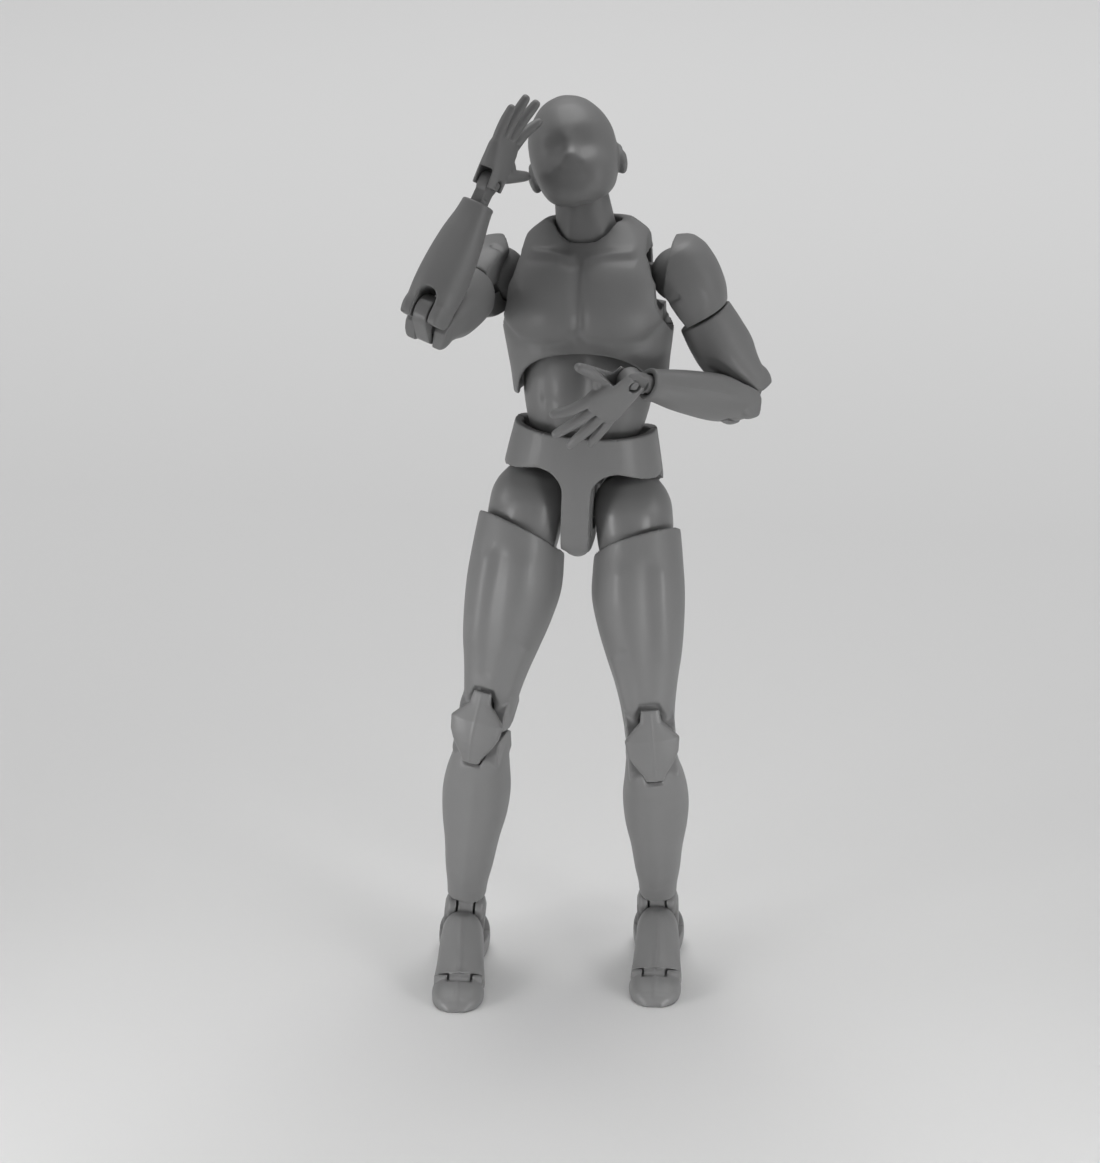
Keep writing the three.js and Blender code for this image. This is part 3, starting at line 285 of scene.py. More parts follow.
def within(points, outline):
    inside = np.zeros(len(points), bool)
    for (ax, ay), (bx, by) in zip(outline, outline[1:] + outline[:1]):
        crosses = (points[:, 1] < ay) != (points[:, 1] < by)
        reach = ax + (points[:, 1] - ay) * (bx - ax) / ((by - ay) or tiny)
        inside ^= crosses & (points[:, 0] < reach)
    return inside


def sculpt(mesh, face, marks=(), plates=()):  # a plate is an outline, the softness of its edge and its lift
    count = len(mesh.vertices)
    at, normal = np.empty(count * 3), np.empty(count * 3)
    mesh.vertices.foreach_get("co", at)
    mesh.vertices.foreach_get("normal", normal)
    at, normal = at.reshape(-1, 3), normal.reshape(-1, 3)
    deep, sign, plane = facing[face]
    seen = np.clip(normal[:, deep] * sign * 2, 0, 1)  # fades where the surface turns away
    flat = at[:, plane]
    lift = np.zeros(count)
    for line, width, height in marks:
        lift += height * np.exp(-(farFrom(flat, line) / width) ** 2)
    for outline, edge, height in plates:
        depth = farFrom(flat, outline + outline[:1]) * np.where(within(flat, outline), 1, -1)
        lift += height / (1 + np.exp(-depth / edge))
    at += normal * (lift * seen)[:, None]
    mesh.vertices.foreach_set("co", at.ravel())
    mesh.update()
    return mesh


def both(marks):  # the same marks on the other side of the middle
    return list(marks) + [([(-x, z) for x, z in line][::-1], width, height) for line, width, height in marks]


def across(s, span):  # a span of x on the side s
    return sorted((s * span[0], s * span[1]))


# Frames from the joints, in metres
def pivot(name):
    return Vector(hinges[name]["pos_m"])


def axis(name, like):
    way = Vector(hinges[name]["axis"])
    return way if way.dot(Vector(like)) > 0 else -way


def basis(at, **axes):  # the first axis named is kept, the second is squared to it
    (lead, a), (lean, b) = axes.items()
    a = a.normalized()
    found = {lead: a, lean: (b - a * a.dot(b)).normalized()}
    third = next(k for k in "xyz" if k not in found)
    one, two = {"x": "yz", "y": "zx", "z": "xy"}[third]
    found[third] = found[one].cross(found[two])
    square = Matrix((found["x"], found["y"], found["z"])).transposed().to_4x4()
    square.translation = at
    return square


right, back, up = (1, 0, 0), (0, 1, 0), (0, 0, 1)
leans = {"head": -5.5, "right_hand": 4.6, "left_hand": 68.0}  # degrees past the joint's own frame
rightHip, leftHip = pivot("right_hip_swing"), pivot("left_hip_swing")
hipMiddle = (rightHip + leftHip) / 2
frames = {
    "pelvis": basis(hipMiddle, x=leftHip - rightHip, z=axis("waist_twist", up)),
    "abdomen": basis(pivot("waist_bend"), x=axis("waist_bend", right),
                     z=pivot("chest_side") - pivot("waist_bend")),
    "chest": basis(pivot("chest_bend"), z=axis("left_shoulder_fly", up),
                   x=pivot("left_shoulder_fly") - pivot("right_shoulder_fly")),
    "neck": basis(pivot("neck_turn"), z=axis("neck_turn", up), x=axis("head_nod", right)),
    "head": basis(pivot("head_tilt"), y=axis("head_tilt", back), x=axis("head_nod", right))
    @ Matrix.Rotation(math.radians(leans["head"]), 4, "Y"),
}
for side, s in (("right", -1), ("left", 1)):
    fly, swing = pivot(f"{side}_shoulder_fly"), pivot(f"{side}_shoulder_swing")
    elbowHigh, elbowLow = pivot(f"{side}_elbow_upper"), pivot(f"{side}_elbow_lower")
    wristAt, hipAt = pivot(f"{side}_wrist_bend"), pivot(f"{side}_hip_swing")
    kneeHigh, kneeLow = pivot(f"{side}_knee_upper"), pivot(f"{side}_knee_lower")
    ankleAt = pivot(f"{side}_ankle_turn")
    crook, lift = axis(f"{side}_elbow_upper", right), axis(f"{side}_shoulder_raise", back)
    kneeAxis, thighAxis = axis(f"{side}_knee_upper", right), axis(f"{side}_thigh_turn", up)
    pitch, footAcross = axis(f"{side}_ankle_pitch", right), axis(f"{side}_toe", right)
    footAlong = axis(f"{side}_ankle_roll", back)
    limbs = {
        "shoulder_link": basis(fly, z=axis(f"{side}_shoulder_fly", up), x=s * (swing - fly)),
        "shoulder_ball": basis(swing, x=axis(f"{side}_shoulder_swing", right), y=lift),
        "deltoid": basis(swing, z=swing - elbowHigh, y=lift),
        "upper_arm": basis(swing, z=swing - elbowHigh, x=crook),
        "elbow": basis(elbowHigh, x=crook, z=elbowHigh - elbowLow),
        "forearm": basis(elbowLow, x=crook, z=elbowLow - wristAt),
        "wrist_peg": basis(wristAt, z=elbowLow - wristAt, x=axis(f"{side}_wrist_bend", crook)),
        "hip_ball": basis(hipAt, z=thighAxis, y=axis(f"{side}_hip_spread", back)),
        "thigh": basis(hipAt, z=thighAxis, x=kneeAxis),
        "knee": basis(kneeHigh, x=kneeAxis, z=kneeHigh - kneeLow),
        "shin": basis(kneeLow, x=kneeAxis, z=kneeLow - ankleAt),
        "ankle_post": basis(ankleAt, z=axis(f"{side}_ankle_turn", up), x=pitch),
        "ankle_yoke": basis(ankleAt, x=pitch, y=footAlong),
        "foot": basis(pivot(f"{side}_ankle_roll"), y=footAlong, x=footAcross),
        "toe": basis(pivot(f"{side}_toe"), x=footAcross, y=footAlong),
    }
    limbs["hand"] = limbs["wrist_peg"] @ Matrix.Rotation(math.radians(leans[f"{side}_hand"]), 4, "X")
    frames.update({f"{side}_{body}": square for body, square in limbs.items()})


def place(name, mesh, body, nodes, slot="shell_plastic", flip=False):
    mesh = mesh.copy()
    if flip:
        mesh.transform(Matrix.Scale(-1, 4, (1, 0, 0)))
        mesh.flip_normals()
    mesh.transform(frames[body] @ Matrix.Scale(mm, 4))
    mesh.materials.clear()
    mesh.materials.append(surfaces[slot])
    mesh.polygons.foreach_set("use_smooth", [True] * len(mesh.polygons))
    piece = bpy.data.objects.new(name, mesh)
    scene.collection.objects.link(piece)
    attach(piece, body)
    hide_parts(*nodes)


def pair(name, mesh, body, node, slot="shell_plastic"):  # drawn for the left, mirrored for the right
    for side in ("left", "right"):
        place(f"{side}_{name}", mesh, f"{side}_{body}", [f"{side}_{node}"], slot, side == "right")


# In the dictionaries below a rod is radius, start and end, and a block is its spans of x, y and z
# Pelvis: two shells with a strap between the legs
pelvis = {
    "outer": [
        [-7.6, -0.9, 0.9, -2.4, 2.2], [-7.0, -1.7, 1.7, -3.6, 3.4], [-6.0, -2.5, 2.5, -5.2, 5.0],
        [-4.9, -6.0, 6.0, -6.2, 6.4], [-2.5, -10.6, 10.6, -7.2, 8.0], [1.0, -12.1, 12.1, -8.1, 8.8],
        [5.0, -12.4, 12.4, -8.5, 8.9], [9.0, -11.8, 11.8, -8.6, 8.5], [12.5, -11.1, 11.1, -8.6, 8.4],
        [15.6, -10.5, 10.5, -8.5, 8.3],
    ],
    "bowl": [
        [7.4, -5.6, 5.6, -4.6, 4.6], [8.6, -7.6, 7.6, -5.9, 5.9], [11.0, -9.3, 9.3, -7.2, 7.1],
        [14.0, -9.7, 9.7, -7.5, 7.3], [16.6, -9.7, 9.7, -7.5, 7.3],
    ],
    "power": 2.6, "rim": (50, -30, 30), "rimAt": (0, 0, 50), "rimSides": 360, "rimZ": 12.5, "rimTilt": -8,
    "strap": 2.2, "legR": 3.9, "legArc": 0.56, "legSteps": 24, "legEdge": [(11.6, 1.3), (20, 2.7)],
    "legFloor": -20, "frontLeg": (8.2, -20, 0.5), "backLeg": (4.6, 0, 20),
    "hipX": 7.8, "hipBall": 6.4, "hipGap": 0.6, "pegHole": (1.8, -0.3, 3.3), "pegX": 2.0,
    "postHole": (2.3, 3.0, 14), "postAt": (0, 0.3, 0), "split": 1.0, "seam": 0.03, "far": 40,
    "front": [
        ([(0, 11), (0, -4)], 1.7, 0.12), ([(-1.9, 6), (-1.7, -4)], 0.8, -0.08),
        ([(1.9, 6), (1.7, -4)], 0.8, -0.08),
    ],
}


def legOpening(s, top, y0, y1):
    strap, legR, steps = pelvis["strap"], pelvis["legR"], pelvis["legSteps"]
    turns = [math.pi * (1 - pelvis["legArc"] * k / steps) for k in range(steps + 1)]
    arc = [(strap + legR + legR * math.cos(a), top - legR + legR * math.sin(a)) for a in turns]
    edge = [(x, top - drop) for x, drop in pelvis["legEdge"]]
    outline = [(strap, pelvis["legFloor"]), *arc, *edge, (edge[-1][0], pelvis["legFloor"])]
    return slab([(s * x, z) for x, z in outline], y0, y1)


def pelvisShell(y0, y1):  # cut away from y0 to y1
    far = pelvis["far"]
    tilt = Matrix.Rotation(math.radians(pelvis["rimTilt"]), 4, "X")
    rim = turned(rod("y", *pelvis["rim"], pelvis["rimAt"], pelvis["rimSides"]),
                 Matrix.Translation((0, 0, pelvis["rimZ"])) @ tilt)
    cuts = [loft(pelvis["bowl"]), rim, block(-far, far, y0, y1, -far, far)]
    for s in (1, -1):
        cuts += [legOpening(s, *pelvis["frontLeg"]), legOpening(s, *pelvis["backLeg"])]
        cuts.append(ball(pelvis["hipBall"] + pelvis["hipGap"], (s * pelvis["hipX"], 0, 0)))
        cuts.append(rod("x", *pelvis["pegHole"], (s * pelvis["pegX"], 0, 0)))
    cuts.append(rod("z", *pelvis["postHole"], pelvis["postAt"]))
    return carve([loft(pelvis["outer"], power=pelvis["power"])], cuts)


pelvisFront = pelvisShell(pelvis["split"] - pelvis["seam"], pelvis["far"])
sculpt(pelvisFront, "front", pelvis["front"])
pelvisBack = pelvisShell(-pelvis["far"], pelvis["split"] + pelvis["seam"])
place("pelvis_front_shell", pelvisFront, "pelvis", ["pelvis_front"])
place("pelvis_back_shell", pelvisBack, "pelvis", ["pelvis_back"])
print("pelvis done")

# Abdomen
belly = {
    "outer": [
        [-5.0, -6.2, 6.2, -4.9, 4.8], [-3.6, -7.5, 7.5, -5.8, 5.5], [-1.2, -8.7, 8.7, -6.4, 6.0],
        [1.4, -9.4, 9.4, -6.8, 6.3], [4.4, -9.9, 9.9, -7.0, 6.4], [8.0, -9.8, 9.8, -7.0, 6.3],
        [10.4, -9.4, 9.4, -6.6, 6.0], [12.2, -8.2, 8.2, -5.8, 5.2],
    ],
    "waistPin": (2.3, -3.5, 3.5), "waistPower": 4,
    "waistRoom": [[-6, -2.3, 2.3, -4.2, 4.2], [0, -2.3, 2.3, -2.2, 2.2]],
    "chestPin": (2.3, -3.1, 3.1), "chestPinAt": (0, 0, 8.4), "chestRoom": (-6.6, 6.6, -4.6, 4.9, 9.5, 20.4),
    "front": [
        ([(0.2, 10), (0.3, 2), (0.2, -4)], 0.9, -0.34), *both([([(3.1, 9), (2.9, -3)], 1.7, 0.24)]),
        *both([([(6.4, 10), (5.7, 3), (4.2, -4)], 0.9, -0.22)]),
        ([(-5.5, 3.6), (-1.0, 3.3), (1.0, 3.3), (5.5, 3.6)], 0.8, -0.12),
    ],
    "back": [([(0, 10), (0, -4)], 1.0, -0.3)],
}
abdomen = carve([loft(belly["outer"])], [
    rod("x", *belly["waistPin"]), loft(belly["waistRoom"], power=belly["waistPower"]),
    rod("y", *belly["chestPin"], belly["chestPinAt"]), block(*belly["chestRoom"]),
])
sculpt(abdomen, "front", belly["front"])
sculpt(abdomen, "back", belly["back"])
place("abdomen_shell", abdomen, "abdomen", ["abdomen"])

# Rib cage: two shells with armholes, a collar and an arched hem
ribs = {
    "outer": [
        [-8.6, -11.8, 11.8, -7.6, 8.5], [-4.0, -12.2, 12.2, -8.6, 9.0], [0.0, -12.8, 12.8, -9.4, 9.2],
        [3.5, -13.2, 13.2, -10.1, 9.2], [7.2, -13.1, 13.1, -10.0, 9.4], [10.2, -12.3, 12.3, -8.9, 9.2],
        [12.5, -11.4, 11.4, -7.1, 8.8], [14.4, -10.3, 10.3, -5.3, 8.2], [16.2, -8.7, 8.7, -3.6, 7.6],
        [17.7, -6.6, 6.6, -2.6, 7.0],
    ],
    "dome": [
        [-9.0, -10.8, 10.8, -7.5, 7.7], [-4.5, -10.7, 10.7, -7.6, 7.6], [-2.0, -10.3, 10.3, -7.4, 7.2],
        [0.4, -9.4, 9.4, -6.8, 6.5], [1.8, -8.4, 8.4, -5.8, 5.4],
    ],
    "power": 2.5, "hem": -8.6, "hemFloor": -12, "hemSteps": 40, "hemCurve": (0.8, 0.9),
    "frontHem": (10.4, 7.2, -20, 0), "backHem": (9.4, 6.2, 0, 20),
    "armhole": [(9.4, 24), (9.4, 15.4), (9.7, 13), (10.6, 9.6), (11.8, 7.4), (13.4, 6.0), (24, 6.0),
                (24, 24)],
    "armholeY": (-20, 20), "beadRoom": 6.0, "beadAt": (13.8, 0.8, 9.3), "capRoom": 8.2, "capX": (11.1, 30),
    "linkX": (4.0, 12.5), "linkRoom": (-3.6, 5.2, 5.4, 13.0), "backX": (9.0, 30),
    "backRoom": (3.0, 30, 4.4, 30), "coreRoom": (-4.2, 4.2, -3.4, 4.2, -2.4, 12),
    "collar": [[11.8, -5.2, 5.2, -4.7, 6.2], [24, -5.2, 5.2, -4.9, 6.8]],
    "split": 3.0, "seam": 0.03, "far": 40,
    "front": [
        ([(0.15, 12), (0.25, 5), (0.1, 1.4)], 0.7, -0.3), ([(0.15, 13), (0.1, -1)], 1.8, -0.26),
        *both([([(1.7, 12.9), (4.6, 13.3), (7.4, 13.4)], 0.7, 0.45)]),
        *both([([(1.2, 0.6), (5.2, -0.2), (9.6, 0.4), (12.6, 3.2)], 0.9, -0.28)]),
        *both([([(4.6, 4.4)], 3.0, 0.34)]), *both([([(9.5, -5.6), (11.2, -3)], 1.6, 0.12)]),
    ],
    "muscle": ([(0.8, 11.2), (3.2, 12.3), (8.4, 12.0), (10.6, 9.2), (12.3, 5.6), (12.0, 3.2), (9.6, 1.2),
                (5.2, 0.6), (2.0, 1.4), (0.8, 2.6)], 0.34, 0.4),
    "back": [
        ([(0, 15), (0, -2)], 1.2, -0.45), *both([([(3.2, 11), (6.4, 8), (6.0, 3.5), (3.4, 2)], 1.3, 0.35)]),
        *both([([(5.5, 1.5), (7.6, -3)], 1.4, 0.2)]),
    ],
}


def arch(wide, high, y0, y1):
    flatter, rounder = ribs["hemCurve"]
    edge = []
    for k in range(ribs["hemSteps"] + 1):
        a = math.pi * k / ribs["hemSteps"]
        x = wide * math.copysign(abs(math.cos(a)) ** flatter, math.cos(a))
        edge.append((x, ribs["hem"] + high * math.sin(a) ** rounder))
    return slab([(wide, ribs["hemFloor"]), *edge, (-wide, ribs["hemFloor"])], y0, y1)


def chestShell(y0, y1):  # cut away from y0 to y1
    far, beadAt = ribs["far"], ribs["beadAt"]
    cuts = [loft(ribs["dome"]), arch(*ribs["frontHem"]), arch(*ribs["backHem"])]
    for s in (1, -1):
        cuts.append(slab([(s * x, z) for x, z in ribs["armhole"]], *ribs["armholeY"]))
        cuts.append(block(*across(s, ribs["linkX"]), *ribs["linkRoom"]))
        cuts.append(ball(ribs["beadRoom"], (s * beadAt[0], *beadAt[1:])))
        cuts.append(rod("x", ribs["capRoom"], *across(s, ribs["capX"]), (0, *beadAt[1:])))
        cuts.append(block(*across(s, ribs["backX"]), *ribs["backRoom"]))
    cuts += [block(*ribs["coreRoom"]), loft(ribs["collar"], power=oval), block(-far, far, y0, y1, -far, far)]
    return carve([loft(ribs["outer"], power=ribs["power"])], cuts)


chestFront = chestShell(ribs["split"] - ribs["seam"], ribs["far"])
sculpt(chestFront, "front", ribs["front"], both([ribs["muscle"]]))
chestBack = chestShell(-ribs["far"], ribs["split"] + ribs["seam"])
sculpt(chestBack, "back", ribs["back"])
place("chest_front_shell", chestFront, "chest", ["chest_front"])
place("chest_back_shell", chestBack, "chest", ["chest_back"])
print("chest done")

# Neck: a hollow cup with a slotted tab inside it
nape = {
    "outer": [
        [-0.9, -4.7, 4.7, -4.6, 4.5], [0.6, -4.8, 4.8, -4.7, 4.6], [3.0, -4.5, 4.5, -4.4, 4.4],
        [6.0, -4.2, 4.2, -4.1, 4.1], [8.2, -4.0, 4.0, -3.9, 3.9],
    ],
    "cup": (3.3, 5.6, 9), "cupSoften": 2, "tab": (-2.0, 2.0, -1.5, 1.5, 4.8, 7.0), "tabEnd": (1.5, -2.0, 2.0),
    "tabAt": (0, 0, 7), "foot": (4.0, -3, 1.75), "ballRoom": 2.5, "bore": (1.6, 0, 5.3),
    "slot": (-1.1, 1.1, -3.2, 3.2, 5.1, 11), "pinHole": (0.9, -3.2, 3.2), "voxel": 0.16,
    "front": [*both([([(3.0, 0), (1.2, 5)], 0.8, 0.12)]), ([(0, 0), (0, 5)], 0.9, -0.1)],
}
cup = carve([loft(nape["outer"], power=oval)], [rod("z", *nape["cup"])], nape["voxel"], nape["cupSoften"])
neck = carve([cup, block(*nape["tab"]), rod("x", *nape["tabEnd"], nape["tabAt"])], [
    rod("z", *nape["foot"]), ball(nape["ballRoom"]), rod("z", *nape["bore"]), block(*nape["slot"]),
    rod("x", *nape["pinHole"], nape["tabAt"]),
], nape["voxel"])
sculpt(neck, "front", nape["front"])
place("neck_shell", neck, "neck", ["neck"])

# Head with a nearly blank face
skull = {
    "outer": [
        [-5.3, -1.6, 1.6, -7.4, -4.8], [-4.7, -3.2, 3.2, -8.6, -3.0], [-3.8, -4.4, 4.4, -9.3, -0.8],
        [-2.4, -5.3, 5.3, -9.8, 2.2], [-0.4, -6.0, 6.0, -10.1, 5.0], [2.0, -6.5, 6.5, -10.1, 7.0],
        [5.0, -6.7, 6.7, -9.7, 8.3], [8.0, -6.3, 6.3, -8.8, 8.5], [10.4, -5.1, 5.1, -7.2, 7.4],
        [12.2, -3.4, 3.4, -4.9, 5.3], [13.2, -1.5, 1.5, -2.4, 2.6],
    ],
    "power": 2.15, "ear": (6.65, 1.1, 2.5), "earSize": (1.05, 1.75, 2.5), "earTurn": 14, "earLean": -10,
    "neckRoom": 5.0, "neckAt": (0, -0.2, -2.2), "neckBore": (5.0, -9, -2.2), "boreAt": (0, -0.2, 0),
    "postRoom": (-2.8, 2.8, -2.5, 2.5, -2, 2.4), "pinHole": (1.1, -3.9, 3.9), "voxel": 0.2, "soften": 8,
    "face": [
        *both([([(2.7, 3.0)], 2.3, -0.85)]), *both([([(1.0, 5.4), (3.6, 5.6)], 1.4, 0.16)]),
        ([(0, 4.0), (0, 1.8)], 1.0, 0.24), ([(0, 1.0)], 1.2, 0.4),
        *both([([(0.5, 1.2), (1.7, 0.0)], 0.6, 0.2)]), ([(-1.3, -1.8), (1.3, -1.8)], 0.9, -0.2),
        *both([([(3.9, -0.2)], 1.9, 0.22)]),
    ],
    "earHollow": [([(0.4, 1.2), (0.4, 3.6), (1.4, 4.0)], 0.55, -0.24)],
}
ears = []
for s in (1, -1):
    turn = Matrix.Rotation(math.radians(s * skull["earTurn"]), 4, "Z")
    lean = Matrix.Rotation(math.radians(skull["earLean"]), 4, "X")
    ears.append(ball(1, (s * skull["ear"][0], *skull["ear"][1:]), skull["earSize"], turn @ lean))
head = carve([loft(skull["outer"], power=skull["power"]), *ears], [
    ball(skull["neckRoom"], skull["neckAt"]), rod("z", *skull["neckBore"], skull["boreAt"]),
    block(*skull["postRoom"]), rod("y", *skull["pinHole"]),
], skull["voxel"], skull["soften"])
sculpt(head, "front", skull["face"])
for face in ("left", "right"):
    sculpt(head, face, skull["earHollow"])
place("head_shell", head, "head", ["head"])
print("head done")

# Shoulder bar on the chest
bar = {"hub": (2.0, -1.7, 1.7), "axle": (0.8, -3.1, 3.1), "arm": (0, 3.4, -1.2, 1.2, -1.7, 1.7),
       "peg": (1.3, 1, 7.7), "voxel": 0.14}
shoulderBar = carve([
    rod("z", *bar["hub"]), rod("z", *bar["axle"]), block(*bar["arm"]), rod("x", *bar["peg"]),
], voxel=bar["voxel"])
pair("shoulder_bar", shoulderBar, "shoulder_link", "shoulder_link", "joint_plastic")

# Shoulder bead on the bar's peg
bead = {"radius": 4.2, "pin": (1.0, -4.7, 4.7), "bore": (1.6, -8, 0.7), "voxel": 0.16}
shoulderBead = carve([ball(bead["radius"]), rod("y", *bead["pin"])], [rod("x", *bead["bore"])], bead["voxel"])
pair("shoulder_bead", shoulderBead, "shoulder_ball", "shoulder_ball", "joint_plastic")

# Shoulder cap, open on the inside so that it can rise
cap = {
    "outer": [
        [-7.2, -3.8, 4.3, -4.3, 4.2], [-5.6, -4.2, 5.1, -5.0, 4.9], [-3.0, -4.4, 5.8, -5.6, 5.4],
        [0.0, -4.4, 6.0, -5.6, 5.6], [2.6, -4.2, 5.6, -5.3, 5.3], [4.4, -3.2, 4.4, -4.3, 4.3],
        [5.5, -1.4, 2.4, -2.2, 2.2],
    ],
    "slope": (-20, 0, -9, 9, -20, 20), "slopeAt": (-2.4, 0, -0.5), "slopeTurn": 40,
    "corner": (-9, 0, -9, 9, -2.5, 9), "cornerR": 5.7, "cornerSoften": 1, "beadRoom": 4.5,
    "inside": (-8, -2.4, -8, 8, -9, 8), "barRoom": (-8, 1.6, -1.8, 1.8, 0, 8),
    "pinHole": (1.15, -4.85, 4.85), "armBore": (2.3, -9, -3), "voxel": 0.2,
}
slope = turned(block(*cap["slope"]), Matrix.Translation(cap["slopeAt"])
               @ Matrix.Rotation(math.radians(cap["slopeTurn"]), 4, "Y"))
corner = carve([block(*cap["corner"])], [ball(cap["cornerR"])], cap["voxel"], cap["cornerSoften"])
shoulderCap = carve([loft(cap["outer"])], [
    ball(cap["beadRoom"]), block(*cap["inside"]), corner, slope, block(*cap["barRoom"]),
    rod("y", *cap["pinHole"]), rod("z", *cap["armBore"]),
], cap["voxel"])
pair("shoulder_cap", shoulderCap, "deltoid", "deltoid")

# Elbow: what the upper arm, the link and the forearm share
elbow = {"endR": 2.8, "half": 1.8, "slot": 1.45, "slotDeep": 1.9, "pinHole": (1.16, -2.9, 3.0)}

# Upper arm
sleeve = {
    "outer": [
        [-20.0, -3.7, 3.8, -2.8, 2.8], [-16.6, -3.9, 4.0, -3.8, 3.5], [-14.6, -4.1, 4.2, -4.4, 4.2],
        [-11.0, -4.1, 4.3, -4.5, 4.3], [-7.5, -3.7, 4.2, -4.2, 4.1],
    ],
    "pinAt": (0, 0, -20.0), "endX": (-3.6, 3.7), "post": (2.0, -9, -4.9), "slotY": (-9, 9), "slotLow": 6,
    "front": [([(0, -17.5), (0, -8.5)], 1.6, 0.2)], "voxel": 0.2,
}
pinZ = sleeve["pinAt"][2]
slotTop = pinZ + elbow["slotDeep"]
upperArm = carve([
    loft(sleeve["outer"]), *domed(elbow["endR"], *sleeve["endX"], sleeve["pinAt"]), rod("z", *sleeve["post"]),
], [
    *bendRoom(pinZ, elbow["half"], 1, -1),
    block(-elbow["slot"], elbow["slot"], *sleeve["slotY"], pinZ - sleeve["slotLow"], slotTop),
    rod("y", elbow["slot"], *sleeve["slotY"], (0, 0, slotTop)), rod("x", *elbow["pinHole"], sleeve["pinAt"]),
], sleeve["voxel"])
sculpt(upperArm, "front", sleeve["front"])
pair("upper_arm_shell", upperArm, "upper_arm", "upper_arm")

# Elbow link with a small triangle pressed into each side
elbowPlate = {"end": (2.5, -1.15, 1.15), "lowAt": (0, 0, -3.6), "middle": (-1.15, 1.15, -2.5, 2.5, -3.6, 0),
              "pinHole": (1.3, -9, 9), "voxel": 0.14,
              "dent": ([(-1.4, -0.9), (1.4, -0.9), (0, -2.7)], 0.1, -0.3)}


def linkPlate(plate):  # two round ends with a pin hole in each
    ends = [rod("x", *plate["end"]), rod("x", *plate["end"], plate["lowAt"])]
    holes = [rod("x", *plate["pinHole"]), rod("x", *plate["pinHole"], plate["lowAt"])]
    return carve([*ends, block(*plate["middle"])], holes, plate["voxel"])


elbowLink = linkPlate(elbowPlate)
for face in ("left", "right"):
    sculpt(elbowLink, face, plates=[elbowPlate["dent"]])
pair("elbow_link_plate", elbowLink, "elbow", "elbow_link", "joint_plastic")

# Forearm: a fork at the elbow, a bore at the wrist
fore = {
    "outer": [
        [-17.7, -2.3, 2.4, -2.3, 2.3], [-16.0, -2.5, 2.6, -2.5, 2.4], [-12.5, -3.1, 3.3, -3.0, 2.9],
        [-8.5, -3.6, 3.8, -3.4, 3.2], [-4.0, -3.8, 4.0, -3.6, 3.3], [0.0, -3.6, 3.8, -2.8, 2.8],
    ],
    "endX": (-3.6, 3.8), "slotY": (-9, 9), "slotHigh": 6, "wristBore": (1.7, -21.9, -13.9), "voxel": 0.2,
    "seam": [([(0.3, -17.6), (0.3, -4)], 0.18, 0.05)], "cuff": [([(-4, -17.4), (4, -17.4)], 0.3, 0.1)],
}
forearm = carve([loft(fore["outer"]), *domed(elbow["endR"], *fore["endX"])], [
    *bendRoom(0, elbow["half"], -1, -1),
    block(-elbow["slot"], elbow["slot"], *fore["slotY"], -elbow["slotDeep"], fore["slotHigh"]),
    rod("y", elbow["slot"], *fore["slotY"], (0, 0, -elbow["slotDeep"])), rod("x", *elbow["pinHole"]),
    rod("z", *fore["wristBore"]),
], fore["voxel"])
sculpt(forearm, "left", fore["seam"])
sculpt(forearm, "front", fore["cuff"])
pair("forearm_shell", forearm, "forearm", "forearm")
print("arms done")

# Wrist peg
wrist = {"shaft": (1.4, 2.5, 6.7), "neck": (-0.9, 0.9, -1.4, 1.4, 0, 2.8), "disc": (1.9, -0.9, 0.9),
         "pin": (0.7, -1.7, 1.7), "voxel": 0.12}
wristPeg = carve([
    rod("z", *wrist["shaft"]), block(*wrist["neck"]), rod("x", *wrist["disc"]), rod("x", *wrist["pin"]),
], voxel=wrist["voxel"])
pair("wrist_peg_barrel", wristPeg, "wrist_peg", "wrist_peg", "joint_plastic")

# Open hand: fingers along -z, thumb towards -y, each a path and its radii
palm = {
    "outer": [
        [-7.2, -0.9, 0.9, -3.3, 3.0], [-6.3, -1.2, 1.3, -3.7, 3.4], [-4.2, -1.6, 1.6, -3.5, 3.3],
        [-1.8, -1.9, 1.9, -2.9, 2.8], [0.6, -2.0, 2.0, -2.5, 2.4],
    ],
    "power": 2.8,
    "web": ([(-0.2, -0.6, -4.6), (-0.5, -2.8, -4.0), (-0.8, -4.4, -3.1)], (1.1, 0.9, 0.6)),
    "first": ([(0.1, -2.6, -5.6), (-0.3, -3.8, -9.0), (-1.1, -4.9, -11.4), (-1.2, -5.1, -12.0)],
              (0.92, 0.84, 0.68, 0.36)),
    "middle": ([(0.1, -0.9, -5.8), (-0.4, -1.25, -10.0), (-1.3, -1.5, -13.5), (-1.5, -1.55, -14.2)],
               (0.94, 0.86, 0.7, 0.36)),
    "ring": ([(0.1, 0.9, -5.8), (-0.4, 1.5, -9.8), (-1.3, 2.1, -13.4), (-1.5, 2.2, -14.1)],
             (0.92, 0.84, 0.68, 0.36)),
    "little": ([(0.1, 2.4, -5.4), (-0.3, 3.5, -8.6), (-1.1, 4.7, -11.2), (-1.2, 5.0, -11.8)],
               (0.86, 0.78, 0.62, 0.34)),
    "thumb": ([(-0.4, -1.4, -1.8), (-0.9, -4.6, -2.6), (-1.2, -7.9, -3.5), (-1.25, -8.6, -3.7)],
              (1.4, 1.05, 0.75, 0.4)),
    "slot": (-1.08, 1.08, -9, 9, -2.2, 5), "pinHole": (1.0, -2.0, 2.0), "voxel": 0.13,
}
digits = [finger(*palm[key]) for key in ("web", "first", "middle", "ring", "little", "thumb")]
hand = carve([loft(palm["outer"], power=palm["power"]), *digits],
             [block(*palm["slot"]), rod("x", *palm["pinHole"])], palm["voxel"])
pair("open_hand", hand, "hand", "hand")
print("hands done")

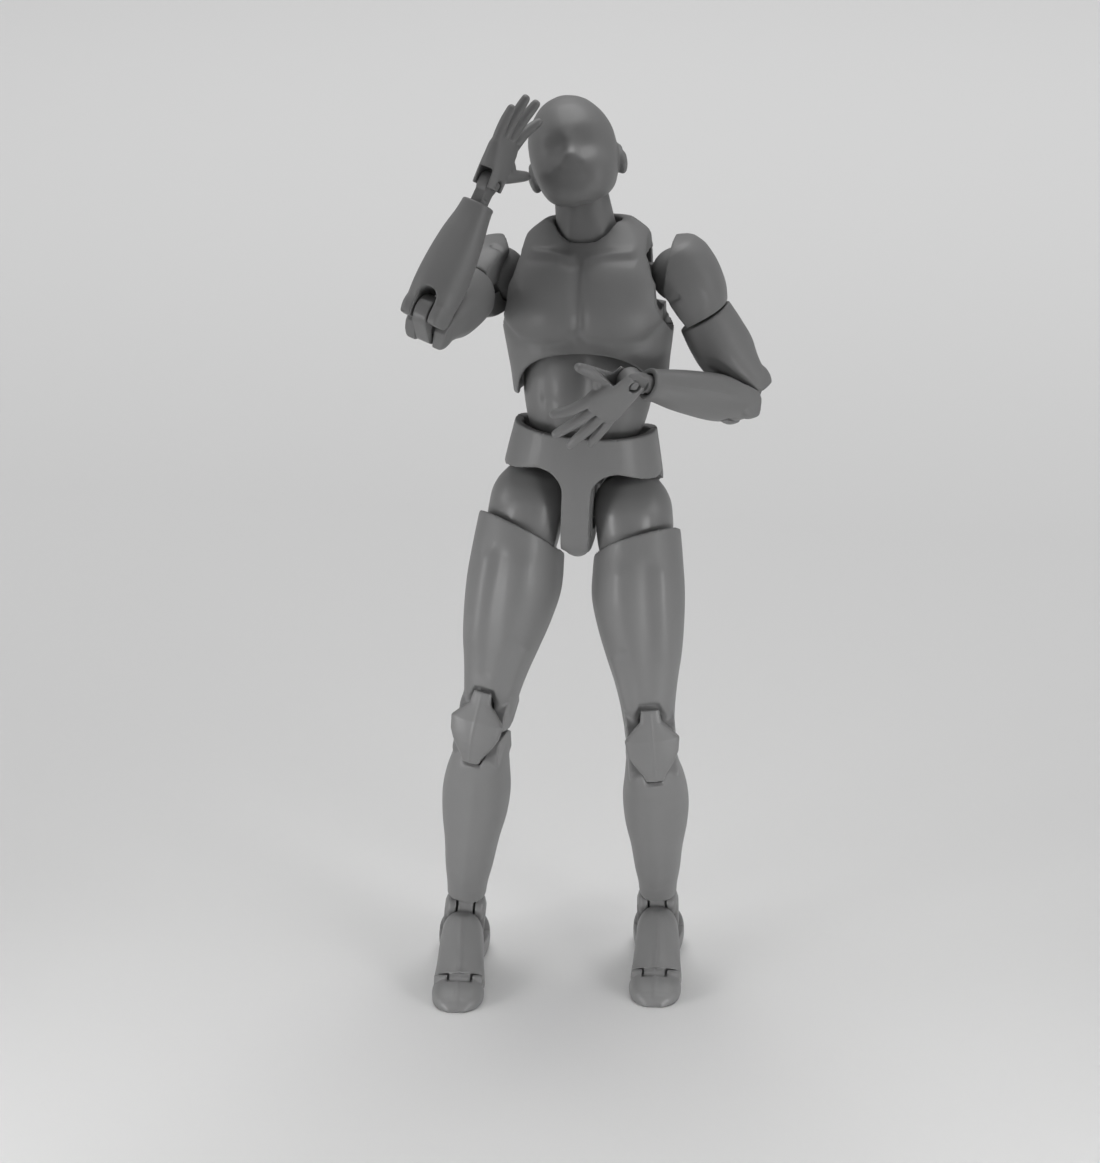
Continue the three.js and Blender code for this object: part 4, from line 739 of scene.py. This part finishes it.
# Hip bead: an egg of rings, each a level and a radius
hip = {
    "rings": [(-9.4, 2.6), (-8.4, 4.0), (-6.6, 5.3), (-4.0, 6.2), (-1.4, 6.4), (1.4, 6.2), (3.8, 5.1),
              (5.4, 3.6), (6.2, 1.8)],
    "middle": -2, "post": (1.6, -13, -4), "inside": (-9, -5.2, -9, 9, -9, 9), "hub": (2.9, -1.8, 1.8),
    "pegSlot": (-9, 0, -1.8, 1.8, -2.4, 9), "topSlot": (-9, 1.8, -1.8, 1.8, 0, 9),
    "pinHole": (1.3, -3.7, 3.7), "voxel": 0.2,
}


def hipEgg(room):
    rows = []
    for z, r in hip["rings"]:
        wide = r + room
        rows.append((z + math.copysign(room, z - hip["middle"]), -wide, wide, -wide, wide))
    return loft(rows, power=oval)


hipBead = carve([hipEgg(0), rod("z", *hip["post"])], [
    block(*hip["inside"]), rod("y", *hip["hub"]), block(*hip["pegSlot"]), block(*hip["topSlot"]),
    rod("y", *hip["pinHole"]),
], hip["voxel"])
pair("hip_bead", hipBead, "hip_ball", "hip_ball", "joint_plastic")

# Knee: what the thigh, the link and the shin share
knee = {"end": (3.7, -3.8, 3.9), "half": 2.6, "slot": (-1.7, 1.7, -3.75, 12), "slotDeep": 4.1,
        "pinHole": (1.16, -3.3, 3.4), "notchPower": 6}

# Thigh
thighPiece = {
    "outer": [
        [-34.2, -3.9, 4.0, -3.8, 4.2], [-30.8, -4.2, 4.4, -4.9, 4.6], [-27.0, -4.8, 5.1, -5.7, 5.2],
        [-23.0, -5.7, 6.0, -6.6, 5.9], [-18.0, -6.7, 6.8, -7.3, 6.8], [-13.0, -7.2, 7.3, -7.7, 7.4],
        [-8.5, -6.6, 7.4, -7.7, 7.7], [-4.0, -5.8, 7.4, -7.5, 7.6], [1.6, -5.3, 7.2, -7.3, 7.2],
    ],
    "pinAt": (0, 0, -34.2), "slant": (-30, 30, -30, 30, 0, 30), "slantAt": (0, 0, -5.2),
    "slantTurn": (-10, -20), "eggRoom": 0.3, "postBore": (1.9, -13.3, -4), "slotLow": 8, "voxel": 0.22,
    "notch": [[-6, -4.9, 4.9, -12, -3.6], [1.4, -4.7, 4.7, -12, -3.6], [3.2, -2.2, 2.2, -12, -4.0],
              [4.5, -1.6, 1.6, -12, -4.3]],
    "front": [
        ([(1.2, -8), (0.9, -18), (0.2, -27)], 1.3, -0.3), ([(-2.8, -9), (-2.6, -22)], 1.8, 0.28),
        ([(3.8, -9), (3.2, -22)], 1.6, 0.22), ([(-5.0, -22.5), (-4.2, -26.5), (-3.5, -30.4)], 0.7, 0.3),
        ([(-3.4, -21), (-2.6, -26), (-2.4, -30)], 0.8, -0.22),
    ],
    "back": [([(0, -10), (0, -26)], 1.6, -0.25), *both([([(3, -12), (2.6, -26)], 1.6, 0.2)])],
}
kneeZ = thighPiece["pinAt"][2]
aside, forward = (math.radians(a) for a in thighPiece["slantTurn"])
slant = turned(block(*thighPiece["slant"]), Matrix.Translation(thighPiece["slantAt"])
               @ Matrix.Rotation(aside, 4, "Y") @ Matrix.Rotation(forward, 4, "X"))
thigh = carve([loft(thighPiece["outer"]), rod("x", *knee["end"], thighPiece["pinAt"])], [
    slant, hipEgg(thighPiece["eggRoom"]), rod("z", *thighPiece["postBore"]),
    *bendRoom(kneeZ, knee["half"], 1, 1),
    block(*knee["slot"], kneeZ - thighPiece["slotLow"], kneeZ + knee["slotDeep"]),
    rod("x", *knee["pinHole"], thighPiece["pinAt"]),
    loft([[kneeZ + z, *spans] for z, *spans in thighPiece["notch"]], power=knee["notchPower"]),
], thighPiece["voxel"])
sculpt(thigh, "front", thighPiece["front"])
sculpt(thigh, "back", thighPiece["back"])
pair("thigh_shell", thigh, "thigh", "thigh")

# Knee link
kneePlate = {"end": (3.4, -1.4, 1.4), "lowAt": (0, 0, -5.2), "middle": (-1.4, 1.4, -3.4, 3.4, -5.2, 0),
             "pinHole": (1.3, -9, 9), "voxel": 0.16}
pair("knee_link_plate", linkPlate(kneePlate), "knee", "knee_link", "joint_plastic")

# Kneecap, a plate with a seam ridge on the front of the link
shield = {
    "outer": [
        [-7.6, -1.4, 1.4, -5.5, -4.3], [-6.5, -1.8, 1.8, -5.9, -4.2], [-5.3, -2.6, 2.6, -6.3, -4.0],
        [-2.6, -4.0, 4.0, -6.5, -4.0], [-0.4, -4.3, 4.3, -6.4, -4.0], [1.4, -2.7, 2.7, -6.0, -4.0],
        [2.4, -1.7, 1.7, -5.8, -4.2], [4.4, -1.4, 1.4, -5.4, -4.4],
    ],
    "power": 2.9, "pitch": 1.5, "stem": (-1.4, 1.4, -4.6, -3.56, -4.8, -0.4), "voxel": 0.14,
    "front": [([(0, -9), (0, 4)], 0.2, 0.07), ([(0, -2)], 2.6, 0.15)],
}
kneeCap = carve([
    loft(shield["outer"], power=shield["power"], pitch=shield["pitch"]), block(*shield["stem"]),
], voxel=shield["voxel"])
sculpt(kneeCap, "front", shield["front"])
pair("knee_cap_plate", kneeCap, "knee", "knee_cap")

# Shin
calf = {
    "outer": [
        [-29.8, -2.9, 3.1, -3.0, 3.1], [-27.6, -3.0, 3.3, -3.3, 3.4], [-24.5, -3.4, 3.8, -3.8, 4.1],
        [-19.0, -3.9, 4.5, -4.3, 5.2], [-14.0, -4.6, 5.4, -4.7, 6.2], [-9.5, -4.7, 5.7, -4.8, 6.3],
        [-5.5, -4.3, 5.2, -4.8, 5.6], [-3.0, -4.1, 4.6, -4.7, 4.9], [0, -3.8, 4.0, -3.8, 4.2],
    ],
    "slotHigh": 8, "postBore": (1.7, -33.6, -23.1), "ankleRoom": (2.3, -9, 9), "ankleAt": (0, 0, -32.6),
    "notch": [[-2.6, -1.6, 1.6, -12, -3.9], [-1.7, -2.1, 2.1, -12, -3.9], [-0.5, -4.7, 4.7, -12, -3.6],
              [6, -4.9, 4.9, -12, -3.6]],
    "front": [([(-0.8, -6), (-0.6, -26)], 0.9, 0.16), ([(1.6, -8), (1.2, -24)], 1.2, -0.14)],
    "back": [([(0, -6), (0, -16)], 1.1, -0.2)], "voxel": 0.22,
}
shin = carve([loft(calf["outer"]), rod("x", *knee["end"])], [
    *bendRoom(0, knee["half"], -1, 1), block(*knee["slot"], -knee["slotDeep"], calf["slotHigh"]),
    rod("x", *knee["pinHole"]), loft(calf["notch"], power=knee["notchPower"]), rod("z", *calf["postBore"]),
    rod("x", *calf["ankleRoom"], calf["ankleAt"]),
], calf["voxel"])
sculpt(shin, "front", calf["front"])
sculpt(shin, "back", calf["back"])
pair("shin_shell", shin, "shin", "shin")
print("legs done")

# Ankle post
ankle = {"shaft": (1.4, 1, 9.2), "neck": (-1.25, 1.25, -1.4, 1.4, 0, 2.4), "disc": (2.0, -1.25, 1.25),
         "pinHole": (1.3, -9, 9), "voxel": 0.14}
anklePost = carve([rod("z", *ankle["shaft"]), block(*ankle["neck"]), rod("x", *ankle["disc"])],
                  [rod("x", *ankle["pinHole"])], ankle["voxel"])
pair("ankle_post_peg", anklePost, "ankle_post", "ankle_post", "joint_plastic")

# Ankle yoke: two domed ears on a bar
yoke = {
    "earR": 2.3, "earX": (1.55, 2.6), "pin": (1.0, -3.35, 3.35), "domeX": 2.5, "domeSize": (0.85, 2.3, 2.3),
    "bar": (-3.35, 3.35, -1.6, 1.6, -3.8, -2.3), "sideX": (1.55, 3.35), "side": (-1.6, 1.6, -3.1, 0),
    "axle": (1.0, -4.9, 4.9), "axleAt": (0, 0, -3.1), "voxel": 0.14,
}
ankleFork = carve([
    *[rod("x", yoke["earR"], *across(s, yoke["earX"])) for s in (1, -1)], rod("x", *yoke["pin"]),
    *[ball(1, (s * yoke["domeX"], 0, 0), yoke["domeSize"]) for s in (1, -1)], block(*yoke["bar"]),
    *[block(*across(s, yoke["sideX"]), *yoke["side"]) for s in (1, -1)],
    rod("y", *yoke["axle"], yoke["axleAt"]),
], voxel=yoke["voxel"])
pair("ankle_fork", ankleFork, "ankle_yoke", "ankle_yoke", "joint_plastic")

# Foot with a tongue for the toe cap
foot = {
    "outer": [
        [6.6, -2.4, 2.4, -6.9, -1.8], [5.7, -3.5, 3.5, -7.5, -0.4], [3.6, -4.1, 4.1, -7.9, 1.2],
        [0.0, -3.9, 4.0, -7.9, 2.0], [-3.0, -3.4, 3.5, -7.9, 3.6], [-4.4, -3.4, 3.6, -7.9, 3.4],
        [-6.2, -3.5, 3.8, -7.9, 1.8], [-8.4, -3.7, 4.0, -7.9, -0.3], [-11.0, -3.9, 4.3, -7.9, -2.2],
        [-13.2, -3.9, 4.3, -7.9, -2.8],
    ],
    "underSole": (-9, 9, -30, 30, -20, -5.9), "toeAt": (0, -13.2, -4.4), "toeRoom": (1.8, -9, 9),
    "ahead": (-9, 9, -30, -13.2, -20, 20), "tongue": (-1.7, 1.7, -13.2, -10, -5.8, -3.0),
    "tongueEnd": (1.4, -1.7, 1.7), "yokeRoom": (-9, 9, -2.6, 2.6, -2.4, 9), "axleHole": (1.3, -5.2, 5.2),
    "toePin": (0.86, -9, 9), "voxel": 0.15, "instepSoften": 1, "soften": 4,
    "top": [([(0.1, -4.8), (0.1, -12.6)], 0.42, 0.26), ([(-1.9, -5), (-2.4, -12)], 0.9, -0.1),
            ([(2.1, -5), (2.6, -12)], 0.9, -0.1)],
}
instep = carve([loft(foot["outer"], "y")], [
    block(*foot["underSole"]), rod("x", *foot["toeRoom"], foot["toeAt"]), block(*foot["ahead"]),
], foot["voxel"], foot["instepSoften"])
footShell = carve([instep, block(*foot["tongue"]), rod("x", *foot["tongueEnd"], foot["toeAt"])], [
    block(*foot["yokeRoom"]), rod("y", *foot["axleHole"]), rod("x", *foot["toePin"], foot["toeAt"]),
], foot["voxel"], foot["soften"])
sculpt(footShell, "top", foot["top"])
pair("foot_shell", footShell, "foot", "foot")

# Toe cap
toe = {
    "outer": [
        [0, -3.9, 4.3, -2.7, 1.5], [-2.6, -3.9, 4.3, -2.7, 1.4], [-4.8, -3.3, 3.8, -2.7, 0.9],
        [-6.3, -2.3, 2.8, -2.5, 0.2], [-7.1, -1.1, 1.6, -2.3, -0.7],
    ],
    "power": 2.8, "barrel": (1.5, -3.7, 4.1), "underSole": (-9, 9, -30, 30, -20, -1.5),
    "tongueRoom": (-2.0, 2.0, -1.8, 9, -9, 9), "pinHole": (1.0, -9, 9), "voxel": 0.14,
    "top": [([(0.2, -1.9), (0.2, -6.4)], 0.4, 0.14)],
}
toeShell = carve([loft(toe["outer"], "y", toe["power"]), rod("x", *toe["barrel"])], [
    block(*toe["underSole"]), block(*toe["tongueRoom"]), rod("x", *toe["pinHole"]),
], toe["voxel"])
sculpt(toeShell, "top", toe["top"])
pair("toe_shell", toeShell, "toe", "toe_cap")
print("feet done")

# Round pins with softened rims
pins = {
    "rim": 0.15, "rimSteps": 3, "elbow": (1.0, -2.8, 2.9), "knee": (1.0, -3.2, 3.3), "toe": (0.7, -3.3, 3.7),
}


def pinBar(name, body, node, radius, low, high, at=(0, 0, 0)):
    bm = bmesh.new()
    spot = Matrix.Translation(at) @ turnTo["x"] @ Matrix.Translation((0, 0, (low + high) / 2))
    bmesh.ops.create_cone(bm, cap_ends=True, segments=fine["pin"], radius1=radius, radius2=radius,
                          depth=high - low, matrix=spot)
    rims = [e for e in bm.edges if len({len(f.verts) for f in e.link_faces}) == 2]
    bmesh.ops.bevel(bm, geom=rims, offset=pins["rim"], affect="EDGES", segments=pins["rimSteps"],
                    profile=0.5, material=-1)
    pair(name, meshed(bm), body, node, "joint_plastic")


pinBar("elbow_high_pin", "upper_arm", "elbow_upper_pin", *pins["elbow"], sleeve["pinAt"])
pinBar("elbow_low_pin", "forearm", "elbow_lower_pin", *pins["elbow"])
pinBar("knee_high_pin", "thigh", "knee_upper_pin", *pins["knee"], thighPiece["pinAt"])
pinBar("knee_low_pin", "shin", "knee_lower_pin", *pins["knee"])
pinBar("toe_hinge_pin", "foot", "toe_pin", *pins["toe"], foot["toeAt"])

# The plain inner parts keep their shape
for node in frame["nodes"].values():
    node.data.materials.clear()
    node.data.materials.append(surfaces["joint_plastic"])
print("pins and inner parts done")

# Studio: a matt paper sweep, in metres, with painted light that makes it darker at the front and paler
# towards the back
# near and far are the painted shade at the front and the painted light at the back, and fade is the span of y
# between them
studio = {"near": "#c8c8c8", "far": "#ececec", "paintedLightFade": (0.22, 0.85), "rough": 0.85, "front": -2.4,
          "depth": 2.6, "wide": 2.6, "bend": 0.8, "bendSteps": 16, "high": 2.8}
bendY = studio["depth"] - studio["bend"]
line = [(studio["front"], 0.0), (bendY, 0.0)]
for k in range(1, studio["bendSteps"] + 1):
    a = math.pi / 2 * k / studio["bendSteps"]
    line.append((bendY + studio["bend"] * math.sin(a), studio["bend"] * (1 - math.cos(a))))
line.append((studio["depth"], studio["high"]))
bm = bmesh.new()
row = [bm.verts.new((-studio["wide"], y, z)) for y, z in line]
edges = [bm.edges.new(ends) for ends in zip(row, row[1:])]
made = bmesh.ops.extrude_edge_only(bm, edges=edges)["geom"]
moved = [v for v in made if isinstance(v, bmesh.types.BMVert)]
bmesh.ops.translate(bm, verts=moved, vec=(2 * studio["wide"], 0, 0))
sweepMesh = meshed(bm)
sweepMesh.polygons.foreach_set("use_smooth", [True] * len(sweepMesh.polygons))
paper = bpy.data.materials.new("matt_paper_sweep")  # dull, with soft shadows, and painted light that grades it from darker at the front to paler at the back
paper.use_nodes = True
tree = paper.node_tree
floorAt = addNode(tree, "ShaderNodeTexCoord").outputs["Object"]
parts = addNode(tree, "ShaderNodeSeparateXYZ", links={"Vector": floorAt})
# Painted light and shade: the paper's colour runs from the darker near grey to the paler far grey along y
paintedLightFade = addNode(tree, "ShaderNodeMapRange", {"From Min": studio["paintedLightFade"][0], "From Max": studio["paintedLightFade"][1]},
               {"Value": parts.outputs["Y"]})
paperPaintedLight = addNode(tree, "ShaderNodeMix", {"data_type": "RGBA"}, {"Factor": paintedLightFade.outputs["Result"]})
paperPaintedLight.inputs[mixLow].default_value = linear(studio["near"])
paperPaintedLight.inputs[mixHigh].default_value = linear(studio["far"])
tree.links.new(paperPaintedLight.outputs[mixOut], tree.nodes["Principled BSDF"].inputs["Base Color"])
tree.nodes["Principled BSDF"].inputs["Roughness"].default_value = studio["rough"]
sweepMesh.materials.append(paper)
sweep = bpy.data.objects.new("paper_sweep", sweepMesh)
scene.collection.objects.link(sweep)

# Softboxes above, beside, near the floor and in front
lamps = {
    "overhead_softbox": {"at": (0.0, 0.35, 1.24), "aim": (0, 0.08, 0), "size": (1.1, 0.9), "power": 14.0},
    "left_softbox": {"at": (-0.9, -0.2, 0.3), "aim": (0, 0, 0.05), "size": (0.4, 0.4), "power": 1.6},
    "left_floor_softbox": {"at": (-0.17, -0.15, 0.045), "aim": (0, -0.01, 0.018), "size": (0.07, 0.07),
                           "power": 0.042, "spread": 70},
    "right_softbox": {"at": (0.9, -0.2, 0.3), "aim": (0, 0, 0.05), "size": (0.4, 0.4), "power": 1.6},
    "right_floor_softbox": {"at": (0.17, -0.15, 0.045), "aim": (0, -0.01, 0.018), "size": (0.07, 0.07),
                            "power": 0.042, "spread": 70},
    "front_softbox": {"at": (0.2, -1.8, 0.4), "aim": (0, 0, 0.05), "size": (0.8, 0.6), "power": 0.5},
}


def softbox(name, at, aim, size, power, spread=180):
    lamp = bpy.data.lights.new(name, "AREA")
    lamp.shape = "RECTANGLE"
    lamp.size, lamp.size_y = size
    lamp.energy = power
    lamp.spread = math.radians(spread)
    box = bpy.data.objects.new(name, lamp)
    box.location = at
    box.rotation_euler = (Vector(aim) - Vector(at)).to_track_quat("-Z", "Y").to_euler()
    scene.collection.objects.link(box)


for name, settings in lamps.items():
    softbox(name, **settings)

# A room with pale walls and a dim ceiling
room = {"colour": "#e6e6e6", "wall": 0.42, "ceiling": 0.08}
world = bpy.data.worlds.new("studio_room")
world.use_nodes = True
tree = world.node_tree
around = addNode(tree, "ShaderNodeTexCoord").outputs["Generated"]
height = addNode(tree, "ShaderNodeSeparateXYZ", links={"Vector": around})
glow = addNode(tree, "ShaderNodeMapRange", {"To Min": room["wall"], "To Max": room["ceiling"]},
               {"Value": height.outputs["Z"]})
backdrop = tree.nodes["Background"]
backdrop.inputs["Color"].default_value = linear(room["colour"])
tree.links.new(glow.outputs["Result"], backdrop.inputs["Strength"])
scene.world = world
scene.view_settings.view_transform = "Standard"
print("studio done")

# Camera at the photographed angle: millimetres, with the focal length in pixels of the picture
shot = {"azimuth": 8.0, "elevation": 20.49, "distance": 557.4, "focal": 3549, "pictureWide": 1100,
        "sensor": 36.0, "aim": (-5.1, 1.51, 65.56)}
turn, rise = math.radians(shot["azimuth"]), math.radians(shot["elevation"])
away = Vector((math.sin(turn) * math.cos(rise), -math.cos(turn) * math.cos(rise), math.sin(rise)))
aimX, aimY, aimZ = (v / 1000 for v in shot["aim"])
aim = Vector((hipMiddle.x + aimX, hipMiddle.y + aimY, aimZ))
lens = bpy.data.cameras.new("camera")
lens.sensor_fit = "HORIZONTAL"
lens.sensor_width = shot["sensor"]
lens.lens = shot["focal"] / shot["pictureWide"] * shot["sensor"]
camera = bpy.data.objects.new("camera", lens)
camera.location = aim + away * shot["distance"] / 1000
camera.rotation_euler = (-away).to_track_quat("-Z", "Y").to_euler()
scene.collection.objects.link(camera)
scene.camera = camera
print("camera done")
